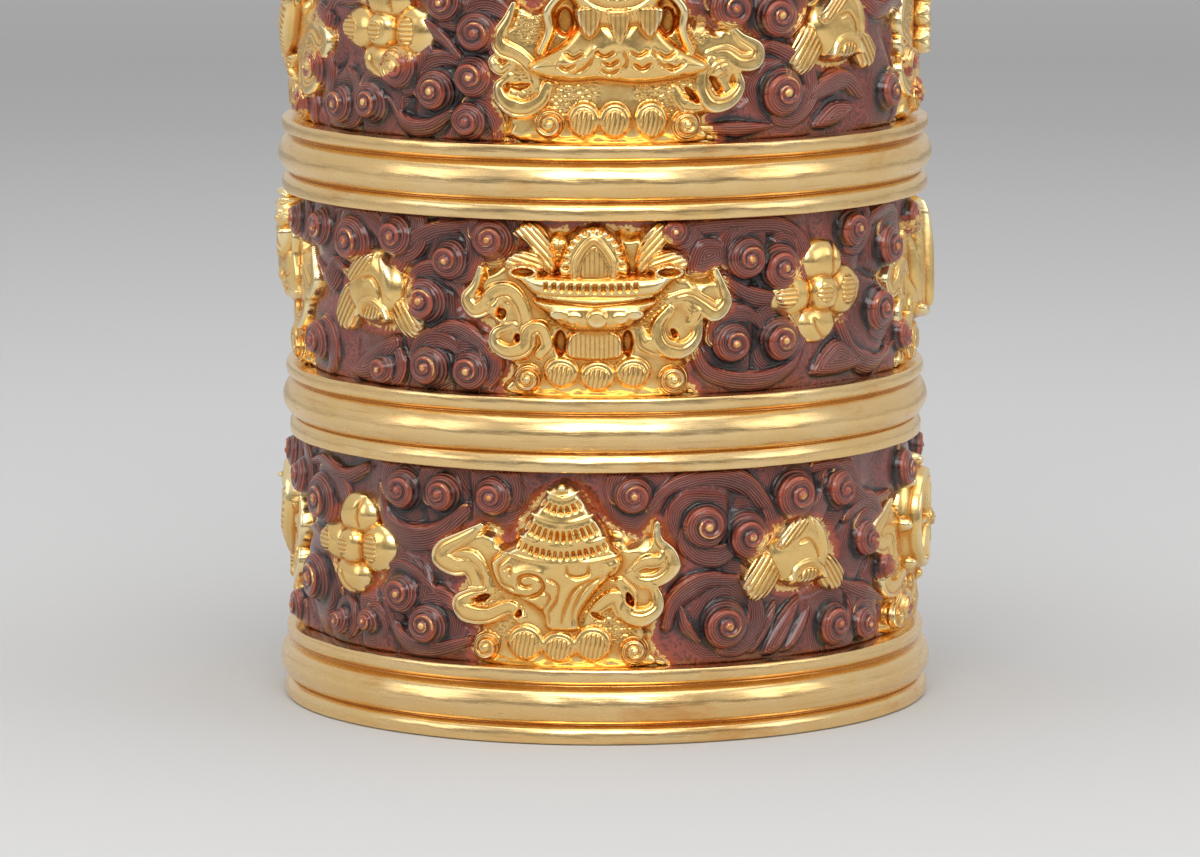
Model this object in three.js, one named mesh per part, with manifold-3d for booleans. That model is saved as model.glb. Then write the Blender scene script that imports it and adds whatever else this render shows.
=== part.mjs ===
// A cylindrical rice offering pot of three gilt and painted tiers that stack, closed by a domed lid.
// Millimetres, +Z up, origin on the floor under the pot's centre; the front of the pot faces -Y.
import * as THREE from "three";
import { mergeVertices } from "three/addons/utils/BufferGeometryUtils.js";
import Module from "manifold-3d";

// Driving dimensions of the tiers
const GROUND_RADIUS = 70; // outer face of the painted sheet
const SHEET = 1.4; // thickness of the raised copper sheet
const TIER_RISES = [61.7, 57.1, 62]; // foot of each tier to the foot of the next
const TIER_TURNS = [-7.5, -1.6, 2]; // how far each tier is turned on the one below, in degrees
const SPIGOT = 5; // how far a wall rises inside the moulding above it
const SOLDER = 0.3; // gap that solder takes between neighbouring pieces
const FIT = 0.45; // free play of a spigot inside the moulding that slides over it

// The moulding that girds each foot: a round torus between two lips, each standing out from the sheet
const MOULDING_HEIGHT = 17.2;
const GROOVE_REACH = 3.9;
const TORUS_REACH = 6.4;
const UPPER_LIP_REACH = 5;
const LOWER_LIP_REACH = 5.2;
const UPPER_LIP_HEIGHT = 3.9;
const TORUS_HEIGHT = 8.8;
const COVE_HEIGHT = 0.6; // hollow between the torus and the lower lip

// Seats, floor and lid
const SEAT_WIDTH = 4;
const SEAT_THICKNESS = 1.5;
const FLOOR_THICKNESS = 1.5;
const FLOOR_INSET = 1.5; // floor plate above the edge that the pot stands on
const DOME_REVEAL = 0.5; // upright wall that shows above the lid's moulding
const DOME_SPRING = MOULDING_HEIGHT + DOME_REVEAL; // where the dome's wall starts to curve in
const DOME_RISE = 25;
const CROWN_RADIUS = 19; // flat top of the dome, under the finial
const STUD_RADIUS = 2;
const STUD_END = 1; // how far the stud stands out of its nut
const NUT_HEIGHT = 3;
const NUT_RADIUS = 5;
const THREAD_GAP = 0.6; // between the stud and the flats of its nut
const COLLAR_HEIGHT = 3.2;
const COLLAR_WIDTH = 3;
const COLLAR_BULGE = 1;
const LOTUS_HEIGHT = 7;
const LOTUS_RADIUS = 14;
const PETALS = 8;
const PETAL_NOTCH = 2.4; // depth of the notches between petals
const JEWEL_RADIUS = 9.5;
const JEWEL_HEIGHT = 24;
const JEWEL_BORE = 0.35; // share of the jewel's height that is bored for the stud

// Scrolls raised from the painted sheet
const VOLUTE_LIFT = 3.6;
const VOLUTE_BAND = 0.6; // width of a volute's band, as a share of its radius
const STEM_LIFT = 2.4;
const STEM_WIDTH = 4.2;
const SCROLL_ROOT = 0.9; // how deep a scroll is rooted in the sheet
const SCROLL_SHEET = [220, 44.5]; // half of a tier's round and the field's height, as the scrolls are drawn
const ORNAMENT_MARGIN = 1.1; // share by which the scrolls keep clear of an ornament's outline

// Applied ornaments: sizes are [width round the wall, height], and a lift is a height above the wall
const EMBLEM_SIZES = [[57, 40], [63, 38], [63, 43]];
const BLOSSOM_SIZE = [20, 21];
const BUD_SIZE = [28, 18.5];
const EMBLEMS_PER_TIER = 4;
const FLOWER_LEVEL = 0.53; // share of the field below a flower's middle
const PLATE_LIFT = 1.8;
const CURL_LIFT = 3.7;
const RIBBON_LIFT = 3.4;
const RIBBON_WIDTH = 3.2;
const POD_LIFT = 4.4;
const MOTIF_LIFT = 8.2;
const FLOWER_LIFT = 4.6;
const PETAL_LIFT = 3.6;
const RIM_WIDTH = 3;
const STRAND_WIDTH = 1.9;
const FISH_WIDTH = 7;

const ROUND_STEPS = 32; // a multiple of four, so that the emblems' plates lie on the wall's flats
const BEAD_STEPS = 4;
const FINIAL_STEPS = 16;

const wasm = await Module();
wasm.setup();

// Turns a closed surface into a solid whose faces point out.
function solid(geometry) {
  const bare = geometry.clone();
  bare.deleteAttribute("normal");
  bare.deleteAttribute("uv");
  const merged = mergeVertices(bare, 1e-4);
  const vertProperties = merged.attributes.position.array;
  const triVerts = new Uint32Array(merged.index.array);
  const made = new wasm.Manifold(new wasm.Mesh({ numProp: 3, vertProperties, triVerts }));
  if (made.volume() > 0) return made;
  for (let i = 0; i < triVerts.length; i += 3) {
    [triVerts[i + 1], triVerts[i + 2]] = [triVerts[i + 2], triVerts[i + 1]];
  }
  return new wasm.Manifold(new wasm.Mesh({ numProp: 3, vertProperties, triVerts }));
}

function join(geometries) {
  return geometries.map(solid).reduce((whole, piece) => whole.add(piece));
}

function geometryOf(made) {
  const { vertProperties, triVerts } = made.getMesh();
  const geometry = new THREE.BufferGeometry();
  geometry.setAttribute("position", new THREE.BufferAttribute(new Float32Array(vertProperties), 3));
  geometry.setIndex(new THREE.BufferAttribute(new Uint32Array(triVerts), 1));
  const flat = geometry.toNonIndexed();
  flat.computeVertexNormals();
  return flat;
}

// Finishes
const gilt = new THREE.MeshStandardMaterial({ color: 0xd9a441, roughness: 0.32, metalness: 1 });
const paint = new THREE.MeshStandardMaterial({ color: 0x5e2a22, roughness: 0.45, metalness: 0.1 });
const copper = new THREE.MeshStandardMaterial({ color: 0x9a5a3a, roughness: 0.5, metalness: 1 });

function piece(name, geometry, material) {
  const mesh = new THREE.Mesh(geometry, material);
  mesh.name = name;
  return mesh;
}

// Turned work: a profile of [radius, height] points revolved about the vertical axis
function turned(profile, steps = ROUND_STEPS) {
  const points = profile.map(([radius, height]) => new THREE.Vector2(radius, height));
  return new THREE.LatheGeometry(points, steps).rotateX(Math.PI / 2);
}

function hoop(innerRadius, outerRadius, bottom, top, steps = ROUND_STEPS) {
  return turned([
    [innerRadius, bottom],
    [outerRadius, bottom],
    [outerRadius, top],
    [innerRadius, top],
    [innerRadius, bottom],
  ], steps);
}

// Half an ellipse of profile points from one height up to another, standing out to a peak radius
function bead(bottom, top, baseRadius, peakRadius, steps = BEAD_STEPS) {
  const middle = (bottom + top) / 2;
  return Array.from({ length: steps + 1 }, (_, i) => {
    const angle = -Math.PI / 2 + (Math.PI * i) / steps;
    return [
      baseRadius + (peakRadius - baseRadius) * Math.cos(angle),
      middle + ((top - bottom) / 2) * Math.sin(angle),
    ];
  });
}

function moulding() {
  const bore = GROUND_RADIUS + FIT;
  const groove = GROUND_RADIUS + GROOVE_REACH;
  const torusTop = MOULDING_HEIGHT - UPPER_LIP_HEIGHT;
  const torusBottom = torusTop - TORUS_HEIGHT;
  return turned([
    [bore, 0],
    [groove, 0],
    ...bead(0, torusBottom - COVE_HEIGHT, groove, GROUND_RADIUS + LOWER_LIP_REACH, 3).slice(1),
    ...bead(torusBottom, torusTop, groove, GROUND_RADIUS + TORUS_REACH),
    ...bead(torusTop, MOULDING_HEIGHT, groove, GROUND_RADIUS + UPPER_LIP_REACH, 3).slice(1),
    [bore, MOULDING_HEIGHT],
    [bore, 0],
  ]);
}

// Relief work is drawn on the unrolled sheet: x along it, h out of it and z up, with x = 0 at the front.
function wrap(x, h, z) {
  const angle = x / GROUND_RADIUS;
  const radius = GROUND_RADIUS + h;
  return [radius * Math.sin(angle), -radius * Math.cos(angle), z];
}

// A closed skin over a stack of loops with equally many [x, h, z] points, closed by a point at each end
function skin(first, loops, last) {
  const count = loops[0].length;
  const positions = [first, ...loops.flat(), last].flatMap(([x, h, z]) => wrap(x, h, z));
  const end = 1 + loops.length * count;
  const index = [];
  for (let i = 0; i < count; i++) {
    const next = (i + 1) % count;
    index.push(0, 1 + next, 1 + i);
    for (let row = 0; row + 1 < loops.length; row++) {
      const low = 1 + row * count;
      const high = low + count;
      index.push(low + i, low + next, high + next, low + i, high + next, high + i);
    }
    index.push(end, end - count + i, end - count + next);
  }
  const geometry = new THREE.BufferGeometry();
  geometry.setAttribute("position", new THREE.Float32BufferAttribute(positions, 3));
  geometry.setIndex(index);
  return geometry;
}

// A swelling form over an outline of [x, z] points. Its flat back is lifted by what its widest stretch
// would otherwise cut into the round wall.
function pillow(outline, lift, clearance = SOLDER * 2) {
  const count = outline.length;
  const centre = outline.reduce(([x, z], p) => [x + p[0] / count, z + p[1] / count], [0, 0]);
  const loop = (scale, h) => outline.map(([x, z]) => [
    centre[0] + (x - centre[0]) * scale, h, centre[1] + (z - centre[1]) * scale]);
  const stretches = outline.flatMap(([x], i) => [x - centre[0], x - outline[(i + 1) % outline.length][0]]);
  const halfStretch = Math.max(...stretches.map(Math.abs)) / 2;
  const base = clearance + halfStretch ** 2 / (2 * GROUND_RADIUS);
  return skin(
    [centre[0], base, centre[1]],
    [loop(1, base), loop(0.76, base + (lift - base) * 0.8)],
    [centre[0], lift, centre[1]],
  );
}

function oval(x, z, halfWidth, halfHeight, sides = 8) {
  return Array.from({ length: sides }, (_, i) => {
    const angle = (2 * Math.PI * (i + 0.5)) / sides;
    return [x + halfWidth * Math.cos(angle), z + halfHeight * Math.sin(angle)];
  });
}

// A raised band along a smooth path through [x, z] points, narrower at its far end
function band(path, width, lift, steps = 5, taper = 0.6, base = SOLDER * 2) {
  const curve = new THREE.CatmullRomCurve3(path.map(([x, z]) => new THREE.Vector3(x, 0, z)));
  const loops = Array.from({ length: steps + 1 }, (_, i) => {
    const share = i / steps;
    const at = curve.getPointAt(share);
    const along = curve.getTangentAt(share);
    const half = (width / 2) * (1 - (1 - taper) * share);
    const point = (side, h) => [at.x - along.z * side * half, h, at.z + along.x * side * half];
    return [point(1, base), point(0, lift), point(-1, base)];
  });
  const middle = (loop) => [0, 1, 2].map((k) => loop.reduce((sum, p) => sum + p[k], 0) / loop.length);
  return skin(middle(loops[0]), loops, middle(loops[steps]));
}

// A sheet cut to an outline and curved like the wall, between two heights above it
function plate(outline, inner, outer) {
  const flat = new THREE.Shape(outline.map(([x, z]) => {
    const [across] = wrap(x, outer, 0);
    return new THREE.Vector2(across, z);
  }));
  const depth = GROUND_RADIUS + outer;
  const prism = new THREE.ExtrudeGeometry(flat, { depth, bevelEnabled: false }).rotateX(Math.PI / 2);
  const top = Math.max(...outline.map(([, z]) => z));
  const shell = hoop(GROUND_RADIUS + inner, depth, -top, 2 * top);
  return solid(prism).intersect(solid(shell));
}

// The whole outline of a form from its right half, given from one end of the middle line to the other
function both(half) {
  return [...half, ...half.map(([x, z]) => [-x, z]).reverse()];
}

// Emblems are drawn in the units of this outline of their plate, as parts of [maker, points, the maker's
// own sizes in millimetres], and stretched to a tier's emblem size.
const PLATE_HALF = [[20, 0.4], [17.5, 9], [26, 14], [27, 24], [22, 30], [14, 28], [4, 37.5]];
const RIBBON_HALF = [[8, 13], [16, 10.5], [22.5, 14.5], [19, 19.5], [24.5, 23], [21, 28]];
const drawnWidth = 2 * Math.max(...PLATE_HALF.map(([x]) => x));
const drawnHeight = Math.max(...PLATE_HALF.map(([, z]) => z));

const flipped = (points) => points.map(([x, z]) => [-x, z]);
const onBothSides = (points) => [points, flipped(points)];

// What every emblem has: a lotus seat of pods between two curls, and a fluttering ribbon on each side
const setting = [
  ...[-7.4, 0, 7.4].map((x) => [pillow, oval(x, 4.6, 3.3, 3.6, 5), POD_LIFT]),
  ...[-16, 16].map((x) => [pillow, oval(x, 3.8, 2.8, 2.8, 5), CURL_LIFT]),
  ...onBothSides(RIBBON_HALF).map((path) => [band, path, RIBBON_WIDTH, RIBBON_LIFT, 4]),
];

// The eight auspicious symbols, each standing on its seat
const motifs = {
  conch() {
    const whorl = (z, reach) => [
      band, [[-reach, z + 2], [0, z - 1], [reach, z + 2]], STRAND_WIDTH, MOTIF_LIFT, 3, 1];
    return [
      [pillow, both([[3, 37], [6, 33], [9, 28], [13.5, 21.5], [10, 16], [4, 9]]), MOTIF_LIFT],
      whorl(27, 8.5),
      whorl(32.5, 5.5),
    ];
  },
  parasol() {
    const brim = [...both([[14.5, 24.5], [9, 21.5], [3, 20.5]]), [-9, 26.5], [0, 27], [9, 26.5]];
    return [
      [pillow, both([[6.5, 25], [6.3, 30], [3, 35]]), MOTIF_LIFT * 0.9],
      [pillow, brim, MOTIF_LIFT],
      [pillow, oval(0, 18.5, 9.5, 5.5), MOTIF_LIFT * 0.95],
      [pillow, both([[4.6, 14], [3.4, 8]]), POD_LIFT * 0.8],
      ...[-1, 1].map((side) => [pillow, oval(side * 10.5, 29, 3.6, 3.4, 5), POD_LIFT * 0.8]),
    ];
  },
  vase() {
    const handle = [[5, 28], [9.5, 31], [12.5, 27], [8.5, 20]];
    return [
      [pillow, both([[5, 28], [7.5, 21], [14, 17.5], [16.5, 14.5], [6, 12.5], [4, 8]]), MOTIF_LIFT],
      [pillow, oval(0, 32, 8, 5), MOTIF_LIFT * 0.95],
      ...onBothSides(handle).map((path) => [band, path, STRAND_WIDTH, RIBBON_LIFT, 4, 1]),
    ];
  },
  wheel() {
    const spokes = 3;
    const around = (turn) => [9.5 * Math.cos(2 * Math.PI * turn), 23 + 9.5 * Math.sin(2 * Math.PI * turn)];
    const rim = Array.from({ length: 9 }, (_, i) => around(i / 8.2));
    return [
      [band, rim, RIM_WIDTH, MOTIF_LIFT * 0.85, 12, 1],
      ...Array.from({ length: spokes }, (_, i) => (i + 0.5) / (2 * spokes))
        .map((turn) => [band, [around(turn), around(turn + 0.5)], STRAND_WIDTH, RIBBON_LIFT, 2, 1]),
      [pillow, oval(0, 23, 3.4, 3.4), MOTIF_LIFT],
    ];
  },
  knot() {
    const strand = (offset, way) => [-7, 7].map((end) => [offset + end, 23 + way * (end - offset)]);
    return [-3.6, 3.6].flatMap((offset) => [strand(offset, 1), strand(-offset, -1)])
      .map((path) => [band, path, RIM_WIDTH, POD_LIFT, 2, 1]);
  },
  lotus() {
    const petal = (x, lean, lift) => [
      pillow,
      [[x - 3.4, 12], [x + 3.4, 12], [x + 3.6 + lean, 22], [x + lean * 1.8, 31], [x - 3.6 + lean, 22]],
      lift,
    ];
    return [petal(-7.5, -3.4, 4), petal(7.5, 3.4, 4), petal(-3.8, -1.6, 4.9), petal(3.8, 1.6, 4.9),
      petal(0, 0, MOTIF_LIFT)];
  },
  fishes() {
    return onBothSides([[6, 32.5], [9.5, 26], [3, 19], [-4, 14.5]])
      .map((path) => [band, path, FISH_WIDTH, MOTIF_LIFT * 0.9, 7, 0.3]);
  },
  banner() {
    const skirt = (z, half) => [pillow, both([[half * 0.8, z + 5.6], [half, z]]), MOTIF_LIFT * 0.85];
    return [skirt(10.5, 8.5), skirt(16.5, 8), skirt(22.5, 7.5), [pillow, oval(0, 30.5, 6, 3.6), MOTIF_LIFT],
      [pillow, oval(0, 35, 2.2, 2.4, 6), POD_LIFT]];
  },
};

function emblemFit([width, height]) {
  return ([x, z]) => [(x * width) / drawnWidth, (z * height) / drawnHeight];
}

function emblem(name, size) {
  const fit = emblemFit(size);
  const parts = [...setting, ...motifs[name]()]
    .map(([make, points, ...sizes]) => make(points.map(fit), ...sizes));
  return geometryOf(join(parts).add(plate(both(PLATE_HALF).map(fit), SOLDER, PLATE_LIFT)));
}

// A blossom seen from the front, with four petals round a boss, centred on a height
function blossom(z) {
  const [width, height] = BLOSSOM_SIZE;
  const lobe = (x, dz, halfWidth, halfHeight, sides, lift) => pillow(
    oval(x * width, z + dz * height, halfWidth * width, halfHeight * height, sides), lift, SOLDER);
  return geometryOf(join([
    ...[-1, 1].map((side) => lobe(0, side * 0.28, 0.21, 0.21, 5, PETAL_LIFT)),
    ...[-1, 1].map((side) => lobe(side * 0.28, 0, 0.21, 0.19, 5, PETAL_LIFT)),
    lobe(0, 0, 0.16, 0.16, 6, FLOWER_LIFT),
  ]));
}

// A blossom seen from the side, with a cup over two leaves, centred on a height
function bud(z) {
  const [width, height] = BUD_SIZE;
  const place = (points) => points.map(([x, dz]) => [x * width, z + dz * height]);
  const leaves = onBothSides([[0.1, 0], [0.25, -0.42], [0.5, -0.5], [0.42, -0.1]]);
  return geometryOf(join([
    pillow(place(both([[0.23, -0.22], [0.28, 0.1], [0.14, 0.5]])), FLOWER_LIFT, SOLDER),
    ...leaves.map((leaf) => pillow(place(leaf), PETAL_LIFT, SOLDER)),
  ]));
}

// Ornaments of one tier, front emblem first and then round the pot, with flowers between the emblems
const TIER_MOTIFS = [
  ["conch", "wheel", "knot", "fishes"],
  ["parasol", "lotus", "banner", "vase"],
  ["vase", "banner", "lotus", "fishes"],
];

function quarterTurned(mesh, index, offset = 0) {
  mesh.rotation.z = ((index + offset) * 2 * Math.PI) / EMBLEMS_PER_TIER;
  return mesh;
}

function fieldHeight(tier) {
  return TIER_RISES[tier] - MOULDING_HEIGHT;
}

function ornaments(tier) {
  const middle = fieldHeight(tier) * FLOWER_LEVEL;
  const made = new THREE.Group();
  made.position.z = MOULDING_HEIGHT;
  const blossomShape = blossom(middle);
  const budShape = bud(middle);
  TIER_MOTIFS[tier].forEach((name, i) => {
    const emblemShape = emblem(name, EMBLEM_SIZES[tier]);
    made.add(quarterTurned(piece(`tier_${tier + 1}_${name}_emblem`, emblemShape, gilt), i));
    const [label, shape] = (i + tier) % 2 === 0 ? ["bud", budShape] : ["blossom", blossomShape];
    made.add(quarterTurned(piece(`tier_${tier + 1}_${label}_${Math.floor(i / 2) + 1}`, shape, gilt), i, 0.5));
  });
  return made;
}

// The main scrolls of each tier, drawn over half of its round from the front emblem's axis and repeated on
// the other half: a volute is [x, z, radius, which way it winds in, the angle in degrees where it starts],
// and a stem is the middle line of a band between them
const SCROLLS = [
  {
    volutes: [
      [-37, 37, 4.8, 1, 200], [31.5, 32, 5.2, -1, 150], [36, 9, 5.2, -1, 80], [-34, 9, 5, 1, 150],
      [-71, 13, 5.4, 1, 150],
    ],
    stems: [[[17, 36], [26, 41], [38, 41], [47, 35]], [[-47, 30], [-38, 27.5], [-29, 30]]],
  },
  {
    volutes: [
      [34, 33.6, 4.8, 1, 180], [36, 10, 4.4, 1, 160], [-33, 32, 4.6, -1, 60], [-33, 6.8, 4.7, 1, 150],
      [73, 16, 5, -1, 100],
    ],
    stems: [[[18, 36], [26, 40.8], [38, 40.4]], [[44, 3.8], [50, 8], [60, 10]]],
  },
  {
    volutes: [
      [-37.5, 26, 4.4, 1, 140], [-56, 7, 4.8, 1, 120], [33, 36, 4.7, 1, 160], [37, 8.6, 4.8, -1, 90],
      [-62, 38.4, 4.5, 1, 60],
    ],
    stems: [[[45, 5], [52, 9], [60, 9.5], [67, 6]], [[64, 37], [71, 33], [78, 36]]],
  },
];

// A volute: a band that winds in three quarters of a turn to a round head
function volute([x, z], radius, spin, start) {
  const turns = 0.75;
  const points = 5;
  const path = Array.from({ length: points }, (_, i) => {
    const share = i / (points - 1);
    const angle = THREE.MathUtils.degToRad(start) + spin * 2 * Math.PI * turns * share;
    const reach = radius * THREE.MathUtils.lerp(1.1, 0.7, share);
    return [x + reach * Math.cos(angle), z + reach * Math.sin(angle)];
  });
  const head = oval(x, z, radius / 2, radius / 2, 5).map(([px, pz]) => [px, -SCROLL_ROOT, pz]);
  return [
    band(path, radius * VOLUTE_BAND, VOLUTE_LIFT * 0.85, 4, 1, -SCROLL_ROOT),
    skin([x, -SCROLL_ROOT, z], [head], [x, VOLUTE_LIFT, z]),
  ];
}

// The space round a tier's ornaments that its scrolls stay out of
function ornamentSpace(tier) {
  const grown = (outline) => {
    const heights = outline.map(([, z]) => z);
    const middle = (Math.min(...heights) + Math.max(...heights)) / 2;
    return outline.map(([x, z]) => [x * ORNAMENT_MARGIN, middle + (z - middle) * ORNAMENT_MARGIN]);
  };
  const quarter = (outline, turn) => plate(grown(outline), 0, 2 * VOLUTE_LIFT).rotate([0, 0, turn]);
  const fit = emblemFit(EMBLEM_SIZES[tier]);
  const [width, height] = [0, 1].map((axis) => Math.max(BUD_SIZE[axis], BLOSSOM_SIZE[axis]));
  const flower = oval(0, 0, width / 2, height / 2);
  const middle = fieldHeight(tier) * FLOWER_LEVEL;
  const step = 360 / EMBLEMS_PER_TIER;
  const spaces = Array.from({ length: EMBLEMS_PER_TIER }, (_, i) => [
    quarter(both(PLATE_HALF).map(fit), i * step),
    quarter(flower.map(([x, z]) => [x, z + middle]), (i + 0.5) * step),
  ]).flat();
  return spaces.reduce((whole, space) => whole.add(space));
}

// A tier's wall, with its scrolls raised out of the sheet
function scrolledWall(tier, bottom) {
  const place = ([x, z]) => [
    (x * Math.PI * GROUND_RADIUS) / SCROLL_SHEET[0],
    (z * fieldHeight(tier)) / SCROLL_SHEET[1],
  ];
  const half = [
    ...SCROLLS[tier].volutes.flatMap(([x, z, ...shape]) => volute(place([x, z]), ...shape)),
    ...SCROLLS[tier].stems.map((path) => band(path.map(place), STEM_WIDTH, STEM_LIFT, 3, 0.6, -SCROLL_ROOT)),
  ];
  const scrolls = join([...half, ...half.map((scroll) => scroll.clone().rotateZ(Math.PI))])
    .subtract(ornamentSpace(tier))
    .translate([0, 0, MOULDING_HEIGHT]);
  const sheet = solid(hoop(GROUND_RADIUS - SHEET, GROUND_RADIUS, bottom, TIER_RISES[tier] + SPIGOT));
  // A scroll cut by an ornament's space may leave a crumb, so only the largest body is the wall.
  const bodies = scrolls.add(sheet).decompose();
  return geometryOf(bodies.reduce((wall, body) => (body.volume() > wall.volume() ? body : wall)));
}

// The ledge inside a foot that rests on the wall below
function seat() {
  const bottom = SPIGOT + SOLDER;
  return hoop(GROUND_RADIUS - SEAT_WIDTH, GROUND_RADIUS, bottom, bottom + SEAT_THICKNESS);
}

const WALL_BOTTOM = SPIGOT + SEAT_THICKNESS + 2 * SOLDER;

function tierGroup(tier, foot) {
  const group = new THREE.Group();
  group.position.z = foot;
  group.rotation.z = THREE.MathUtils.degToRad(TIER_TURNS[tier]);
  const name = `tier_${tier + 1}`;
  const isBase = tier === 0;
  const floorTop = FLOOR_INSET + FLOOR_THICKNESS;
  const wallBottom = isBase ? floorTop + SOLDER : WALL_BOTTOM;
  const rest = isBase
    ? piece("floor_plate", turned([[0, FLOOR_INSET], [GROUND_RADIUS, FLOOR_INSET], [GROUND_RADIUS, floorTop],
      [0, floorTop]]), copper)
    : piece(`${name}_seat_ring`, seat(), copper);
  group.add(
    piece(isBase ? "foot_moulding" : `${name}_moulding`, moulding(), gilt),
    rest,
    piece(`${name}_wall`, scrolledWall(tier, wallBottom), paint),
    ornaments(tier),
  );
  return group;
}

// The lid's shell: a wall inside its moulding, a quarter-oval shoulder and a flat crown bored for the stud
function dome() {
  const shoulder = (radius, rise, steps) => Array.from({ length: steps + 1 }, (_, i) => {
    const angle = (Math.PI / 2) * (i / steps);
    return [CROWN_RADIUS + (radius - CROWN_RADIUS) * Math.cos(angle), DOME_SPRING + rise * Math.sin(angle)];
  });
  const bore = STUD_RADIUS + SOLDER;
  const inner = shoulder(GROUND_RADIUS - SHEET, DOME_RISE - SHEET, 4).reverse();
  return turned([
    [GROUND_RADIUS - SHEET, WALL_BOTTOM],
    [GROUND_RADIUS, WALL_BOTTOM],
    ...shoulder(GROUND_RADIUS, DOME_RISE, 5),
    [bore, DOME_SPRING + DOME_RISE],
    [bore, DOME_SPRING + DOME_RISE - SHEET],
    ...inner,
    [GROUND_RADIUS - SHEET, WALL_BOTTOM],
  ]);
}

// A cup of upright petals: a turned profile whose waist and rim are scalloped between the petals
function lotusCup() {
  const bore = STUD_RADIUS + SOLDER;
  const cup = turned([
    [bore, 0], [LOTUS_RADIUS * 0.78, 0], [LOTUS_RADIUS, LOTUS_HEIGHT * 0.45],
    [LOTUS_RADIUS * 0.84, LOTUS_HEIGHT], [bore, LOTUS_HEIGHT], [bore, 0],
  ], PETALS * 4);
  const place = cup.attributes.position;
  for (let i = 0; i < place.count; i++) {
    const radius = Math.hypot(place.getX(i), place.getY(i));
    if (radius < LOTUS_RADIUS / 2) continue;
    const phase = (Math.atan2(place.getY(i), place.getX(i)) * PETALS) / 2;
    const share = 1 - PETAL_NOTCH * (1 - Math.abs(Math.cos(phase))) / radius;
    place.setXY(i, place.getX(i) * share, place.getY(i) * share);
  }
  return cup;
}

function jewel() {
  const bore = STUD_RADIUS + SOLDER;
  const boreDepth = JEWEL_HEIGHT * JEWEL_BORE;
  const side = new THREE.SplineCurve([
    [0.45, 0], [0.95, 0.16], [0.98, 0.34], [0.62, 0.56], [0.2, 0.76], [0.1, 0.9], [0, 1],
  ].map(([radius, height]) => new THREE.Vector2(radius * JEWEL_RADIUS, height * JEWEL_HEIGHT))).getPoints(8);
  return turned([
    [0, boreDepth], [bore, boreDepth], [bore, 0],
    ...side.slice(0, -1).map((p) => [p.x, p.y]),
    [0, JEWEL_HEIGHT],
  ], FINIAL_STEPS);
}

function lid(foot) {
  const group = new THREE.Group();
  group.position.z = foot;
  const crown = DOME_SPRING + DOME_RISE;
  const jewelFoot = crown + LOTUS_HEIGHT + 2 * SOLDER;
  const nutTop = crown - SHEET - SOLDER;
  const at = (mesh, z) => {
    mesh.position.z = z;
    return mesh;
  };
  const collar = turned([
    [CROWN_RADIUS - COLLAR_WIDTH, 0],
    ...bead(0, COLLAR_HEIGHT, CROWN_RADIUS - COLLAR_BULGE, CROWN_RADIUS),
    [CROWN_RADIUS - COLLAR_WIDTH, COLLAR_HEIGHT],
    [CROWN_RADIUS - COLLAR_WIDTH, 0],
  ], FINIAL_STEPS);
  const nutBore = (STUD_RADIUS + THREAD_GAP) / Math.cos(Math.PI / 6);
  const studFoot = nutTop - NUT_HEIGHT - STUD_END;
  const studLength = jewelFoot + JEWEL_HEIGHT * JEWEL_BORE * 0.9 - studFoot;
  const stud = new THREE.CylinderGeometry(STUD_RADIUS, STUD_RADIUS, studLength, FINIAL_STEPS);
  stud.rotateX(Math.PI / 2);
  group.add(
    piece("lid_moulding", moulding(), gilt),
    piece("lid_seat_ring", seat(), copper),
    piece("lid_dome", dome(), paint),
    at(piece("finial_collar", collar, gilt), crown + SOLDER),
    at(piece("finial_lotus", lotusCup(), gilt), crown + SOLDER),
    at(piece("finial_jewel", jewel(), gilt), jewelFoot),
    at(piece("finial_stud", stud, copper), studFoot + studLength / 2),
    at(piece("finial_nut", hoop(nutBore, NUT_RADIUS, -NUT_HEIGHT, 0, 6), copper), nutTop),
  );
  return group;
}

const pot = new THREE.Group();
let foot = 0;
TIER_RISES.forEach((rise, tier) => {
  pot.add(tierGroup(tier, foot));
  foot += rise;
});
pot.add(lid(foot));

export default pot;
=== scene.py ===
"""The finish of the rice offering pot: its relief as smooth meshes over the CAD frame, its gold and paint,
and the studio of the photograph. The relief is worked out in millimetres on the unrolled wall; meshes are in
metres."""

import math

import bpy
import numpy as np
from mathutils import Matrix, Vector


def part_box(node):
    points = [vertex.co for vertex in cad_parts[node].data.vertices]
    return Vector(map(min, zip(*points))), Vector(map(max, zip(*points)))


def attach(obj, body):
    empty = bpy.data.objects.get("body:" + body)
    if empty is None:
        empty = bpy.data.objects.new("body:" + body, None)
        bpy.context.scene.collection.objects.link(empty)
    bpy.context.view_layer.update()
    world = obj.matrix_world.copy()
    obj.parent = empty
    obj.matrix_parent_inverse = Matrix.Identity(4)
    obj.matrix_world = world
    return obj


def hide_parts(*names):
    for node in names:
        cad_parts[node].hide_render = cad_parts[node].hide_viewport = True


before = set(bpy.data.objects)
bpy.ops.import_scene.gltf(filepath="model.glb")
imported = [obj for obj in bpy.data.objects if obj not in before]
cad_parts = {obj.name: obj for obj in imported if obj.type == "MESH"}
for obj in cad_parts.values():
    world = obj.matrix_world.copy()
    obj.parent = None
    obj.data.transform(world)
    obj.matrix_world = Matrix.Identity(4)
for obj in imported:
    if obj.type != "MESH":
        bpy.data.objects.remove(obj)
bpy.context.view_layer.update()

MM = 0.001

# From the foot up: the bodies, the moulding at the foot of each, and each tier's emblems from the front to
# the right
BODIES = ("base_tier", "middle_tier", "upper_tier", "lid")
MOULDINGS = ("foot_moulding", "tier_2_moulding", "tier_3_moulding", "lid_moulding")
MOTIFS_ROUND = (
    ("conch", "wheel", "knot", "fishes"),
    ("parasol", "lotus", "banner", "vase"),
    ("vase", "banner", "lotus", "fishes"),
)

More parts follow.
